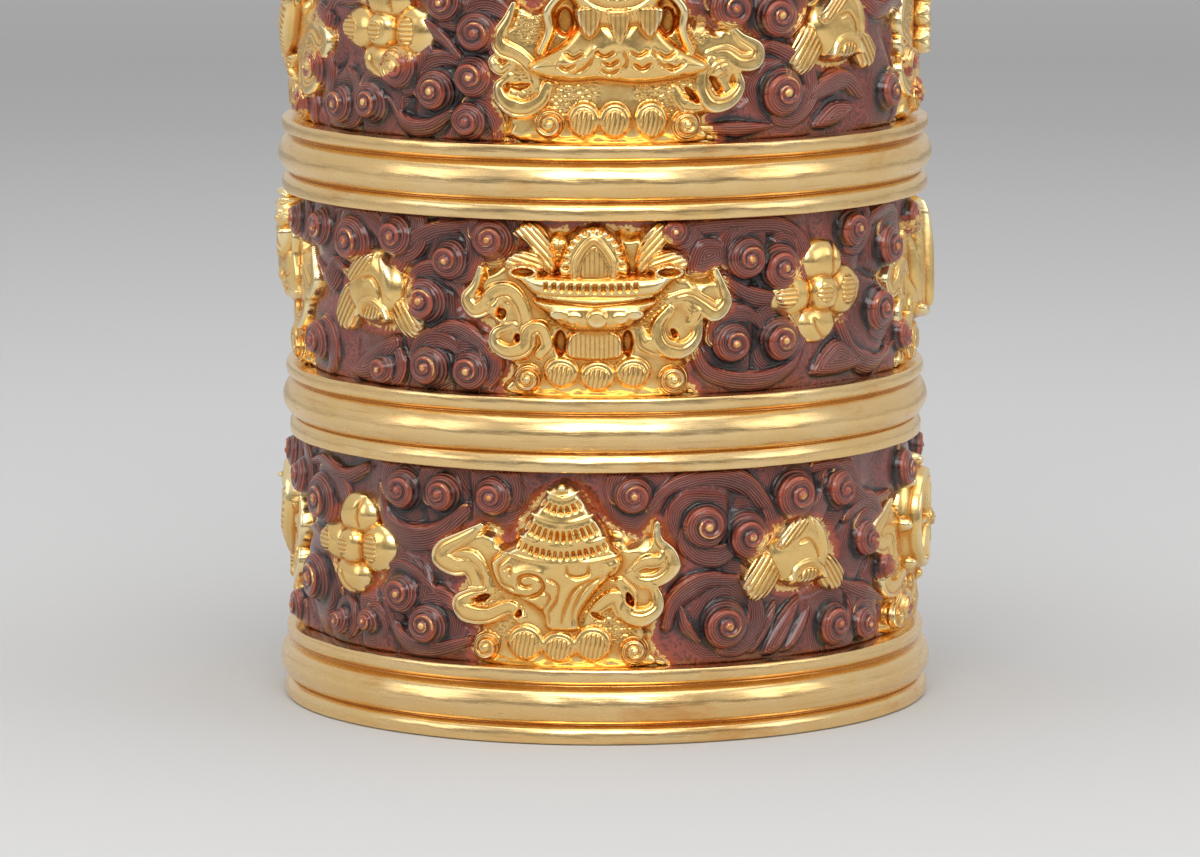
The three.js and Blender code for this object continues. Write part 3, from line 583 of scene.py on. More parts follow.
def conch(field):
    """A conch, its tip up: ribs round the shell, a spiral and folds below."""
    half = [(2.4, 42), (5.2, 38), (8.4, 33), (10.6, 28.5), (13, 24.6)]
    body = [*half, (12.2, 22), (9, 19.4), (6.2, 16), (3.8, 12), (3.4, 8.5), (-3.4, 8.5), (-4.6, 12),
            (-8, 14.6), (-13, 16.8), (-15.8, 20.6), (-16, 24.6), *sided(-1, half[3::-1])]
    field.pillow(body, MOTIF_LIFT - 2.6, edge=1.8, crown=2)
    field.pillow([*half[:4], (12, 25.6), (0, 24), (-14, 25.6), *sided(-1, half[3::-1])], MOTIF_LIFT - 2.0,
                 edge=1.8, crown=1.7)
    for z, reach, sag, tooth in ((37.2, 4.2, 0.8, 2.4), (31.6, 7.6, 1.1, 3), (27.3, 9.6, 1.1, 2.2)):
        field.hatch(arc(reach, z, sag), tooth, 1.35, 0.9)
    for z, reach, sag in ((40, 3.6, 0.8), (34.6, 6.8, 1.0), (29.2, 9.2, 1.1), (25.2, 11.6, 0.9)):
        field.strip(arc(reach, z, sag), 1.5, MOTIF_LIFT - (0.5 if z < 38 else 0.9), ends=(0.6, 0.6))
    field.ball(0, 41.3, 1.7, MOTIF_LIFT - 0.3)
    spiral = [(-7.6 + 6.2 * math.exp(-t / 5) * math.cos(t + 3.4),
               19.6 + 4.4 * math.exp(-t / 5) * math.sin(t + 3.4))
              for t in np.arange(0, 9.5, 0.6)]
    field.groove(spiral, 1.0, 0.9)
    for line in (
        [(-11.5, 26), (-14.2, 23), (-13.4, 19.5), (-10, 17.6)], [(-12.9, 22.3), (-11.4, 23), (-11.6, 21)],
        [(-3.5, 21.2), (-0.8, 19.2), (-1.4, 15.5), (-3, 13), (-3, 9.5)],
        [(1, 24.2), (1.3, 21.9), (3.4, 21.2), (5.4, 21.9), (5.6, 24)],
        [(9.2, 21.6), (5.2, 19), (2.6, 14.5), (1.8, 9.5)], [(6.4, 20.8), (2.4, 18), (0.2, 13), (-0.4, 9.5)],
        [(-4, 18), (-2.8, 16), (-5, 12.6)], [(11.6, 23.4), (9.8, 21.2), (11.4, 20.6)],
    ):
        field.groove(line, 0.9, 0.7)


def parasol(field):
    """An arched parasol over an offering bowl on a stand."""
    wing = [(8.4, 28), (9, 34), (11.4, 38.6), (16, 39.6), (19, 36.6), (15.4, 34), (12.6, 28)]
    leaf = [(11, 28.4), (12, 32.6), (17, 33.4), (20.4, 31), (19, 28.2)]
    for side in (-1, 1):
        field.pillow(sided(side, wing), 3.4, edge=1.6, lines=1.2, heading=90 - 42 * side)
        field.pillow(sided(side, leaf), 4.2, edge=1.4, lines=1.2, heading=90 - 72 * side)
    arch = [(-7.2, 27), (-7.4, 32.6), (-4.8, 37.2), (-0.4, 39.2), (4, 37.2), (6.4, 32.6), (6.2, 27)]
    field.pillow(arch, 4.6, edge=1.4)
    field.hatch([(x * 0.86, 27 + (z - 27) * 0.9) for x, z in arch], 1.9, 1.9, 0.7)
    field.strip([(-4.4, 27.6), (-4.2, 31.6), (-0.4, 36), (3.4, 31.6), (3.6, 27.6)], 1.5, 5.4)
    field.pillow([(-3.4, 27), (-3.3, 31.4), (-0.4, 34.8), (2.5, 31.4), (2.6, 27)], 4.8, edge=0.9, lines=1.0,
                 heading=90)
    rim = [(-18, 28.6), (-15.6, 25.2), (-11.6, 22.4), (0, 21.6), (11.6, 22.4), (15.6, 25.2), (18, 28.6),
           (9, 28), (-9, 28)]
    field.pillow(rim, MOTIF_LIFT - 0.9, edge=2, crown=0.6)
    field.hatch([(-10.8, 25.4), (0, 25), (9.6, 25.4)], 2.4, 1.7, 0.9)
    for side in (-1, 1):
        field.pillow(oval(side * 15.4, 28.4, 3.7, 2), MOTIF_LIFT - 0.6, edge=0.9)
        field.hollow(oval(side * 15.4, 28.4, 2.6, 1.1), 3.6, 0.6)
    belly = [(-12.6, 22.6), (-10.4, 18.6), (-6.4, 15.4), (0, 14.6), (6.4, 15.4), (10, 18.6), (12.2, 22.6)]
    field.pillow(belly, MOTIF_LIFT - 0.6, edge=3, crown=0.4)
    field.strip([(-12.4, 23), (-6, 22.4), (0, 22.2), (6, 22.4), (11.8, 23)], 2.2, MOTIF_LIFT + 0.5,
                ends=(0.4, 0.4))
    for x, z, wide in ((-7.6, 19.2, 2.4), (8, 19.2, 2.4), (-4.4, 18.3, 2.2), (5, 18.3, 2.2)):
        field.pillow(oval(x, z, wide, 1.7), MOTIF_LIFT, edge=0.8)
    field.pillow(oval(0.3, 18.2, 2.9, 2.7), MOTIF_LIFT + 0.6, edge=1.2)
    field.pillow([(-6, 9), (-5, 15.2), (4.4, 15.2), (5.4, 9)], 3.5, edge=1.0, lines=1.0, heading=90)
    for x, wide in ((-7.9, 1.4), (6.9, 1.3)):
        field.hollow(oval(x, 12.2, wide, 3), 0.5, 0.5)


def vase(field):
    """A vase with handles, a skirt of folds and a bowl of jewels."""
    handle = [(7, 32.6), (11.4, 33.4), (14.6, 30), (14.4, 25.6), (16.4, 20.6)]
    for side in (-1, 1):
        field.strip(sided(side, handle), 2.8, 3.9, ends=(0.8, 0.8), lip=0.2)
        field.hollow(oval(side * 11.2, 27.4, 2.1, 3.4), 0.6, 0.6)
    body = [(-7.6, 31), (-8.8, 26.4), (-12, 22.4), (-18.6, 18.4), (-18.4, 15.6), (-11, 13.8), (-3, 14.2),
            (4, 13.4), (12, 14), (19.6, 15.8), (19.8, 18.6), (13, 22.4), (9.6, 26.4), (8.2, 31)]
    field.pillow(body, MOTIF_LIFT - 2.4, edge=2, crown=2.2)
    for x, z in ((-9, 20.4), (-10.4, 17.8), (-2.4, 20.8), (-1.4, 18.8), (-1.4, 16.8), (4.6, 21), (5.4, 18),
                 (10.6, 20.6), (12.4, 18)):
        field.groove([(x - 2, z + 0.2), (x, z - 0.9), (x + 2.1, z + 0.3)], 1.0, 0.9)
    for line in ([(-3.6, 21.6), (-6.4, 17.4), (-10, 15.6)], [(7.6, 21.6), (9.4, 18), (12.6, 16.2)],
                 [(1.4, 21.4), (2.2, 18.6), (1.2, 17)]):
        field.groove(line, 1.0, 0.7)
    field.pillow([(-8.8, 35), (-8.8, 30), (-6.6, 26.4), (0, 25), (6.8, 26.4), (9, 30), (9, 35)],
                 MOTIF_LIFT - 0.6, edge=3, crown=0.4)
    for x, foot in ((-5.6, 23.6), (0.6, 22.4), (6.8, 23.6)):
        field.pillow([(x - 3, 31), (x - 2.5, 26.6), (x, foot), (x + 2.5, 26.6), (x + 3, 31)], MOTIF_LIFT,
                     edge=1, lines=1.0, heading=90)
    bowl = [(-8.6, 34.4), (-4.8, 31), (0, 29.8), (4.8, 31), (8.6, 34.4)]
    field.pillow([*bowl, (5, 38), (-5, 38)], MOTIF_LIFT + 0.2, edge=2.2)
    field.strip(bowl, 1.3, MOTIF_LIFT + 0.6, ends=(0.7, 0.7))
    for i in range(-4, 5):
        field.ball(i * 1.75, 32.4 + 0.07 * i * i, 0.85, MOTIF_LIFT + 0.7)
    field.strip([(-6.6, 37.4), (0, 36), (6.6, 37.4)], 1.6, MOTIF_LIFT + 0.5, ends=(0.8, 0.8))
    field.pillow([(-4, 37.4), (-3, 40), (0, 42.8), (3, 40), (4, 37.4)], MOTIF_LIFT, edge=2)


def wheel(field):
    """A wheel with eight spokes on a stand."""
    ring = [(math.cos(a), math.sin(a)) for a in np.arange(16) * math.pi / 8]
    field.pillow([(14.2 * c, 25 + 15 * s) for c, s in ring], MOTIF_LIFT - 1.6, edge=8)
    for c, s in ring[::2]:
        field.strip([(2.2 * c, 25 + 2.2 * s), (9 * c, 25 + 9.4 * s)], 1.9, MOTIF_LIFT)
        field.ball(12.8 * c, 25 + 13.4 * s, 1.9, MOTIF_LIFT - 1.6)
    field.strip([(10 * c, 25 + 10.6 * s) for c, s in ring], 3.2, MOTIF_LIFT - 0.3, lip=0.3, closed=True)
    field.ball(0, 25, 4, MOTIF_LIFT + 0.8)
    field.volute(0, 25, 3, MOTIF_LIFT, 1, 0)
    field.pillow([(-5, 8.5), (-3.4, 13.5), (3.4, 13.5), (5, 8.5)], 3.3, edge=1.4, lines=1.0, heading=90)


def knot(field):
    """The endless knot: three cords each way, joined by turns at the edges."""
    field.pillow([(0, 38.5), (13.5, 24), (0, 9.5), (-13.5, 24)], 2.2, edge=1.2, smooth=False)
    for shift in (-5.2, 0, 5.2):
        for way in (1, -1):
            cord = [(shift - 7.6, 24 - way * 7.6 + way * shift), (shift + 7.6, 24 + way * 7.6 + way * shift)]
            field.strip(cord[::way], 2.7, MOTIF_LIFT - 0.5, lip=0.25)
    turns = [[(side * 8, a), (side * 13.4, b), (side * 13.4, c), (side * 8, 24)] for side in (-1, 1)
             for a, b, c in ((31.8, 30.6, 25.5), (16.2, 17.4, 22.5))]
    turns += [[(-5, a), (-3, b), (3, b), (5, a)] for a, b in ((34.6, 38.6), (13.4, 9.6))]
    for line in turns:
        field.strip(line, 2.7, MOTIF_LIFT - 0.7, lip=0.25)


def lotus(field):
    """An open lotus: the back petals first, the front one last."""
    def petal(x, lean, top, lift):
        outline = [(x - 2.4, 11), (x - 4.2 + lean * 0.5, 18), (x + lean - 1.6, top - 4),
                   (x + lean * 1.25, top), (x + lean + 1.6, top - 4), (x + 4.2 + lean * 0.5, 18),
                   (x + 2.4, 11)]
        field.pillow(outline, lift, edge=3, crown=0.4)
        field.groove([(x, 14), (x + lean * 0.6, 20), (x + lean, top - 4)], 0.8, 0.3)

    for x, lean, top, lift in ((-9, -8, 25, 3.4), (9, 8, 25, 3.4), (-6.4, -5.5, 31, 4.1), (6.4, 5.5, 31, 4.1),
                               (-3, -2.6, 35, 4.6), (3, 2.6, 35, 4.6), (0, 0, 38, MOTIF_LIFT)):
        petal(x, lean, top, lift)
    field.strip([(-8.5, 12.4), (0, 10.8), (8.5, 12.4)], 3.4, MOTIF_LIFT - 0.6, rungs=1.2)


def fishes(field):
    """Two fishes, head up, with crossed tails."""
    body = [(6.5, 35.5), (10.2, 31), (10.4, 25.5), (6.4, 19.5), (1.6, 15), (-4, 12)]
    tail_fin = [(-3, 14.4), (-9.5, 15), (-8.4, 11.6), (-11, 8.8), (-4, 9.6)]
    back_fin = [(10.5, 29), (14.5, 28.5), (13.5, 24), (10.5, 24)]
    for side in (-1, 1):
        field.strip(sided(side, body), 7.6, MOTIF_LIFT - 0.3, ends=(0.75, 0.35))
        field.hatch(sided(side, body[1:5]), 4.6, 1.5, 0.3)
        field.pillow(sided(side, tail_fin), 4.2, edge=1.4, lines=1.1, heading=20 * side)
        field.ball(side * 7.6, 33.4, 1.2, MOTIF_LIFT + 0.5)
        field.groove(sided(side, [(4.4, 31), (7.4, 29.4), (11.4, 31.4)]), 0.8, 0.5)
        field.pillow(sided(side, back_fin), 3.6, edge=1.2, lines=1.0, heading=20 * side)


def banner(field):
    """A rolled banner: a domed top over three flounces and a pole."""
    field.ball(0, 38.2, 2.4, MOTIF_LIFT - 0.6)
    field.pillow([(-6.8, 31.5), (-4, 35.5), (0, 37), (4, 35.5), (6.8, 31.5)], MOTIF_LIFT, edge=2.4)
    for z, half in ((26, 6.6), (20.2, 7.4), (14.4, 8.2)):
        field.pillow([(-half * 0.86, z + 6.2), (half * 0.86, z + 6.2), (half, z), (-half, z)],
                     MOTIF_LIFT - 0.8, edge=2, smooth=False)
        field.hatch([(-half + 0.8, z + 2.2), (0, z + 1.7), (half - 0.8, z + 2.2)], 3, 1.4, 0.45)
        field.strip([(-half * 0.88, z + 5.6), (0, z + 5), (half * 0.88, z + 5.6)], 1.4, MOTIF_LIFT,
                    ends=(0.8, 0.8))
    field.pillow([(-2.6, 8.5), (-2.2, 14), (2.2, 14), (2.6, 8.5)], 3.4, edge=1.2)


MOTIFS = {draw.__name__: draw for draw in (conch, parasol, vase, wheel, knot, lotus, fishes, banner)}


def blossom(field):
    """A flower seen from the front: four petals and a striped boss, about its own centre."""
    for x, z, wide, high in ((0.3, 7.2, 7, 5.6), (-8.6, 0.2, 6.4, 5.2), (7.6, 0.2, 6.2, 6),
                             (-1.6, -6.8, 6.6, 5)):
        field.pillow(oval(x, z, wide, high), 3.3, edge=4.4, crown=0.3)
    for x, z, wide, high in ((-10.4, 0.2, 3.6, 3.4), (7.2, 0.3, 3.3, 4.2)):
        field.pillow(oval(x, z, wide, high), 3.7, edge=1.6, lines=1.1)
    field.groove([(3.4, 11.6), (2.4, 7.6), (2.8, 4.4)], 1.4, 0.5)
    field.groove([(-3.6, -5.2), (-2.4, -8.2), (0.4, -10.6)], 1.2, 0.35)
    field.pillow([(-4.4, 0.8), (-2.6, 4.4), (2.4, 4), (4, 0.4), (2.2, -3.8), (-3, -3.6)], 4.7, edge=2.4)
    field.pillow(oval(-1, 0.2, 2.8, 3), 4.9, edge=1.2, lines=1.1)


def bud(field):
    """A flower seen from the side: a cup of folded petals over two striped leaves, about its own centre."""
    for side in (-1, 1):
        field.pillow([(side * 4, -1.5), (side * 10, 0.6 - side * 1.2), (side * 14.6, -5), (side * 12.4, -10),
                      (side * 7, -8.4)],
                     3.0, edge=2.2, crown=0.2, lines=1.25, heading=125 if side > 0 else 55)
    field.pillow([(-9, -1), (-7.6, 5.2), (-2, 10), (3.6, 9.6), (8.8, 3.6), (8.6, -3), (4, -7.4), (-3.8, -7)],
                 4.0, edge=4.4, crown=0.5)
    field.pillow([(-7.4, 3.4), (-5.4, 7), (-1.4, 9.2), (1.6, 9), (1.2, 5.8), (-3, 2.6), (-6, 1.4)], 4.7,
                 edge=1.4, lines=1.0, heading=48)
    field.pillow([(2.4, 9), (6, 6.8), (7.8, 2.4), (7.4, -2), (4.6, -0.6), (3.6, 3.4)], 4.6, edge=1.8)
    field.strip([(-3.6, -5.4), (-2, -2.4), (1.6, -1.4), (4.6, -3), (6, -5.4)], 1.6, 5)
    field.pillow([(-2.2, -6), (-0.8, -2.9), (3, -2.4), (4.6, -5.2), (1.4, -6.8)], 4.6, edge=1.2, lines=1.0,
                 heading=70)
    field.groove([(-1.6, 3.2), (1.2, 3.8), (3.4, 1.6), (4.2, -1.2)], 1.0, 0.45)


# Finishes

class Finish:
    """Shading written as steps: each call adds a shader node, joins the sockets it is given and sets the
    rest."""

    def __init__(self, owner):
        self.owner = owner
        owner.use_nodes = True
        self.tree = owner.node_tree
        self.tree.nodes.clear()

    def add(self, kind, settings=None, **inputs):
        """A node's outputs. Its inputs go by name, with _ for a space, or by number after a _."""
        node = self.tree.nodes.new("ShaderNode" + kind)
        for key, value in (settings or {}).items():
            setattr(node, key, value)
        for key, value in inputs.items():
            socket = node.inputs[int(key[1:])] if key[0] == "_" else node.inputs[key.replace("_", " ")]
            if isinstance(value, bpy.types.NodeSocket):
                self.tree.links.new(value, socket)
            else:
                socket.default_value = value
        return node.outputs

    def value(self, name):
        """What the mesh carries under a name."""
        return self.add("Attribute", {"attribute_name": name})["Fac"]

    def math(self, operation, first, second=0.0):
        return self.add("Math", {"operation": operation}, _0=first, _1=second)[0]

    def plus(self, first, second):
        return self.math("ADD", first, second)

    def times(self, first, second):
        return self.math("MULTIPLY", first, second)

    def swing(self, noise, reach):
        """A noise round 0 instead of 0.5, and that many times as strong."""
        return self.times(self.math("SUBTRACT", noise, 0.5), reach)

    def spread(self, value, low, high, to_low=0.0, to_high=1.0):
        """A smooth S from one result to the other, as the value goes from low to high."""
        ends = {"_1": low, "_2": high, "_3": to_low, "_4": to_high}
        return self.add("MapRange", {"interpolation_type": "SMOOTHSTEP"}, _0=value, **ends)[0]

    def mix(self, share, first, second):
        return self.add("Mix", {"data_type": "RGBA"}, _0=share, _6=first, _7=second)[2]

    def tint(self, tone, other, strength, share):
        """A tone with a share of another in it."""
        return self.mix(self.times(share, strength), tone, other)

    def places(self, stretch=(1, 1, 1)):
        place = self.add("TexCoord")["Object"]
        return self.add("Mapping", Vector=place, Scale=stretch)[0]

    def noise(self, scale, stretch=(1, 1, 1), levels=3.0, roughness=0.55):
        settings = {"Scale": scale, "Detail": levels, "Roughness": roughness}
        return self.add("TexNoise", Vector=self.places(stretch), **settings)["Fac"]

    def lines(self):
        """The chased lines, from -1 in their grooves to 1 between them."""
        return self.math("SINE", self.times(self.value("lane"), 2 * math.pi / CHASED_LINE))

    def bump(self, height, distance, strength):
        return self.add("Bump", Height=height, Distance=distance, Strength=strength)[0]

    def finish(self, **inputs):
        surface = self.add("BsdfPrincipled", **inputs)[0]
        self.add("OutputMaterial", Surface=surface)
        return self.owner


def colour(red, green, blue):
    """A colour as the photograph shows it, 0 to 255, as Blender's linear one."""
    shares = [level / 255 for level in (red, green, blue)]
    return (*(s / 12.92 if s <= 0.04045 else ((s + 0.055) / 1.055) ** 2.4 for s in shares), 1.0)


GOLD = colour(247, 208, 134)
WORN_GOLD = colour(249, 214, 146)
# A paler gold: painted highlight on raised gilding
HIGHLIGHT_GOLD = colour(253, 231, 178)
# Orange, brown and deep golds: painted shade in the gilding's hollows, grooves and cuts. The orange also
# stains the turned rings and shows where the lacquer wears through; the deep one also streaks the rings.
ORANGE_GOLD = colour(222, 152, 70)
SHADE_BROWN_GOLD = colour(206, 152, 88)
SHADE_AND_STREAK_GOLD = colour(140, 74, 30)
MAROON = colour(112, 47, 37)
LIGHT_MAROON = colour(148, 65, 50)
# Painted shade in the lacquer's hollows, chased grooves, pits and dips
SHADE_MAROON = colour(34, 15, 12)
RED_EDGE = colour(170, 72, 40)
# Painted sheen on the lacquer between its chased lines
SHEEN_PINK = colour(186, 120, 100)
COPPER = colour(176, 108, 76)
DARK_COPPER = colour(120, 66, 44)


def gilt_finish(name, turned=False):
    """Fire-gilt copper with painted light: a paler gold on raised parts as a painted highlight, and orange to
    deep brown in the hollows, chased grooves and cuts as painted shade. Turned rings are streaked along."""
    f = Finish(bpy.data.materials.new(name))
    ridge = f.value("ridge")
    lines = f.times(f.lines(), f.value("chase"))
    grain = f.noise(300.0, (1, 1, 12)) if turned else f.noise(800.0)
    level = f.plus(ridge, f.swing(f.noise(60.0), 0.5))
    # Painted highlight: paler gold where the relief is raised; on turned rings the ridge mark is capped low,
    # so there it comes mostly in random patches
    if turned:
        raised = f.mix(f.spread(level, -0.1, 0.3), WORN_GOLD, HIGHLIGHT_GOLD)
    else:
        raised = f.mix(f.spread(level, 0.3, 1.1), GOLD, HIGHLIGHT_GOLD)
    # Painted shade: orange, brown and deep gold in the hollows
    low = f.mix(f.spread(level, -1.3, -0.6), SHADE_AND_STREAK_GOLD, SHADE_BROWN_GOLD if turned else ORANGE_GOLD)
    tone = f.mix(f.spread(level, -0.5, 0.02), low, raised)
    # Painted shade: orange in the chased grooves and in the cut lines
    tone = f.tint(tone, ORANGE_GOLD, 0.8, f.spread(lines, 0.1, -0.8))
    tone = f.tint(tone, ORANGE_GOLD, 0.8, f.spread(f.value("dip"), -0.4, 0.8))
    rough = f.spread(f.plus(grain, f.times(ridge, -0.1)), 0.3, 0.7, 0.18, 0.28)
    relief = f.plus(f.times(grain, 0.15), f.times(lines, 1.2))
    if turned:
        streaks = f.noise(40.0, (1, 1, 30), 4.0, 0.6)
        stain = f.spread(f.noise(38.0, (1, 1, 3), 5.0, 0.7), 0.54, 0.7)
        tone = f.tint(tone, ORANGE_GOLD, 0.5, stain)
        tone = f.tint(tone, SHADE_AND_STREAK_GOLD, 0.22, f.spread(streaks, 0.54, 0.7))
        relief = f.plus(relief, f.times(streaks, 0.5))
    else:
        relief = f.plus(relief, f.noise(150.0, levels=2.0))
    return f.finish(Base_Color=tone, Metallic=1.0, Roughness=rough, Normal=f.bump(relief, 0.00018, 0.6))


def paint_finish():
    """Red lacquer over the scrolls, orange on the ridges and worn to gold along the crests, with painted
    light: painted shade darkens it in the hollows, chased grooves, stipple pits and dips, and a painted sheen
    lightens it pink between the chased lines."""
    f = Finish(bpy.data.materials.new("lacquer"))
    patch = f.noise(45.0, levels=4.0)
    cloud = f.noise(150.0, levels=4.0, roughness=0.6)
    fleck = f.noise(260.0, levels=5.0, roughness=0.7)
    grain = f.noise(700.0, levels=4.0)
    pits = f.noise(1300.0, levels=2.0)
    chase = f.value("chase")
    unchased = f.spread(chase, 0.5, 0.0)
    lines = f.times(f.lines(), f.times(chase, f.spread(cloud, 0.3, 0.5, 0.35, 1.0)))
    level = f.plus(f.value("ridge"), f.swing(cloud, 1.1))
    crest = f.plus(f.value("crest"), f.swing(cloud, 1.4))
    dip = f.spread(f.value("dip"), 0.72, 0.98)
    gild = f.plus(f.value("gild"), f.swing(fleck, 0.9))
    rubbed = f.plus(f.value("rub"), f.swing(cloud, 1.6))
    orange_edge = f.math("MAXIMUM", f.spread(rubbed, 0.35, 0.7), f.spread(crest, 0.6, 0.85))

    # The paint, from its ground to its edges
    tone = f.mix(f.spread(patch, 0.35, 0.65), MAROON, LIGHT_MAROON)
    tone = f.tint(tone, RED_EDGE, 0.7, f.spread(level, 0.1, 0.55))
    # Painted sheen: pink between the chased lines; painted shade: dark in their grooves
    tone = f.tint(tone, SHEEN_PINK, 0.36, f.spread(lines, 0.2, 1.0))
    tone = f.tint(tone, SHADE_MAROON, 0.65, f.spread(lines, 0.1, -0.9))
    # Painted shade: near black in the hollows, the stipple pits and the dips
    tone = f.mix(f.spread(level, -0.08, -0.52), tone, SHADE_MAROON)
    tone = f.tint(tone, SHADE_MAROON, 0.6, f.times(f.spread(pits, 0.52, 0.42), unchased))
    tone = f.tint(tone, SHADE_MAROON, 0.75, dip)
    tone = f.tint(tone, RED_EDGE, 0.85, f.spread(gild, 0.3, 0.85))
    tone = f.tint(tone, RED_EDGE, 0.75, orange_edge)

    # The gold that shows where it is worn off or was never painted, and the bare copper inside
    rubbed = f.math("MAXIMUM", rubbed, f.spread(gild, 0.78, 1.05, 0.0, 1.2))
    rubbed = f.math("MAXIMUM", rubbed, f.spread(crest, 0.88, 1.0, 0.0, 1.1))
    worn = f.spread(f.plus(rubbed, f.swing(grain, 0.8)), 0.85, 1.0)
    tone = f.mix(worn, tone, f.mix(f.spread(rubbed, 0.85, 1.2), ORANGE_GOLD, GOLD))
    bare = f.value("inside")
    tone = f.mix(bare, tone, f.mix(f.spread(patch, 0.3, 0.7), DARK_COPPER, COPPER))

    relief = f.plus(f.plus(lines, f.times(grain, 0.8)), f.times(dip, -1.5))
    relief = f.plus(relief, f.times(f.times(pits, unchased), 2.0))
    metal, rough = f.math("MAXIMUM", worn, bare), f.spread(grain, 0.3, 0.7, 0.28, 0.44)
    return f.finish(Base_Color=tone, Metallic=metal, Roughness=rough, Normal=f.bump(relief, 0.0002, 0.9),
                    Coat_Weight=0.8, Coat_Roughness=0.16)


def copper_finish():
    """Bare worn copper, in darker and lighter patches."""
    f = Finish(bpy.data.materials.new("worn_copper"))
    patch = f.noise(70.0, levels=4.0)
    tone = f.mix(f.spread(patch, 0.3, 0.7), DARK_COPPER, COPPER)
    rough = f.spread(patch, 0.3, 0.7, 0.34, 0.5)
    normal = f.bump(f.noise(500.0, (1, 1, 3)), 0.00015, 0.6)
    return f.finish(Base_Color=tone, Metallic=1.0, Roughness=rough, Normal=normal)


gilt, ring_gilt = gilt_finish("gilding"), gilt_finish("turned_gilding", turned=True)
paint, copper = paint_finish(), copper_finish()


# Meshes, in millimetres until mesh_piece scales them

SHEET = 1.4  # thickness of the wall's sheet
BACKING = -0.9  # how far the back of an applied ornament is sunk in the wall, out of sight
OVERLAP = 0.6  # how far a wall's relief runs on past either end, out of sight
WALL_PITCH = 0.3
ORNAMENT_PITCH = 0.22
DETAIL_REACH = 1.0  # the surroundings that a place is compared with
FLOWER_LEVEL = 0.53  # share of a field below its flowers' middle


def extent(node):
    """A CAD node's foot, its top and its reach to the right."""
    low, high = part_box(node)
    return low.z / MM, high.z / MM, high.x / MM


FEET = [extent(node)[0] for node in MOULDINGS]
MOULDING_HEIGHT = extent("foot_moulding")[1]
GROUND_RADIUS = extent("lid_dome")[2]
HALF_ROUND = math.pi * GROUND_RADIUS  # the scrolls of one half are repeated in the other


def middle_angle(node):
    """The angle round the pot of a CAD node's middle, from the front towards the right."""
    places = np.array([v.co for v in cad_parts[node].data.vertices])
    middle = places.mean(0)
    rough = math.atan2(middle[0], -middle[1])
    angles = (np.arctan2(places[:, 0], -places[:, 1]) - rough + math.pi) % (2 * math.pi) - math.pi
    return rough + (angles.min() + angles.max()) / 2


def round_axis(radius, angle, level):
    """Places at a radius from the pot's axis, an angle from the front towards the right, and a level."""
    return np.stack([radius * np.sin(angle), -radius * np.cos(angle), level + np.zeros_like(angle)], -1)


def wrapped(x, height, z):
    """Places on the pot for x round the wall, a height off it and z."""
    return round_axis(GROUND_RADIUS + height, x / GROUND_RADIUS, z)


def even_angles(columns):
    return np.arange(columns) * 2 * math.pi / columns


def doubled(values):
    """The half that is drawn, followed by its repeat."""
    return np.concatenate([values, values], 1)


def mesh_piece(name, points, faces, body, node, finish, attributes=None, sharp=40):
    """A smooth-shaded mesh that rides a body and stands for a CAD node. Edges over the sharp angle stay
    sharp."""
    mesh = bpy.data.meshes.new(name)
    loops = np.concatenate([np.asarray(group, np.int32).ravel() for group in faces])
    sizes = np.concatenate([np.full(len(group), group.shape[1], np.int32) for group in faces])
    mesh.vertices.add(len(points))
    mesh.vertices.foreach_set("co", (np.asarray(points, np.float32) * MM).ravel())
    mesh.loops.add(len(loops))
    mesh.loops.foreach_set("vertex_index", loops)
    mesh.polygons.add(len(sizes))
    mesh.polygons.foreach_set("loop_start", np.concatenate([[0], np.cumsum(sizes)[:-1]]).astype(np.int32))
    mesh.polygons.foreach_set("use_smooth", np.ones(len(sizes), bool))
    mesh.update(calc_edges=True)
    mesh.set_sharp_from_angle(angle=math.radians(sharp))
    for key, values in (attributes or {}).items():
        carried = mesh.attributes.new(key, "FLOAT", "POINT")
        carried.data.foreach_set("value", np.asarray(values, np.float32).ravel())
    mesh.materials.append(finish)
    obj = bpy.data.objects.new(name, mesh)
    bpy.context.scene.collection.objects.link(obj)
    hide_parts(node)
    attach(obj, body)


def grid_faces(rows, columns, closed=False):
    """Quads over a grid of points, row by row. A closed grid joins on to itself both ways, as a ring does."""
    numbers = np.arange(rows * columns).reshape(rows, columns)
    if closed:
        numbers = np.pad(numbers, ((0, 1), (0, 1)), mode="wrap")
    here, above = numbers[:-1], numbers[1:]
    return np.stack([here[:, :-1], here[:, 1:], above[:, 1:], above[:, :-1]], -1).reshape(-1, 4)


def detail(height, pitch, around=False):
    """How far each place stands out from its surroundings: above nought on ridges and below it in hollows.
    The finishes paint highlight and shade from it.
    """
    return height - blurred(height, round(DETAIL_REACH / pitch), around)


def off_ornaments(field, tier, rise, flowers):
    """How far each place of the wall is from the nearest ornament's outline, and 0 inside it."""
    far = np.full(field.x.shape, 99.0)
    shapes = [[(x + shift, z) for x, z in SETTINGS[tier]["ground"]] for shift in (0, HALF_ROUND / 2)]
    for label, outline in (("blossom", oval(0, 0, 11, 9.5)), ("bud", oval(0, 0, 13, 8.5))):
        for angle in flowers[label]:
            shapes.append([(x + angle * GROUND_RADIUS, z + rise * FLOWER_LEVEL) for x, z in outline])
    for outline in shapes:
        line = flowing(outline, True, 1.5)
        for where, x, z in field.windows(line, 4):
            outside = np.where(within(line, x, z), 0, np.abs(beside(line, x, z)[1]))
            far[where] = np.minimum(far[where], outside)
    return far


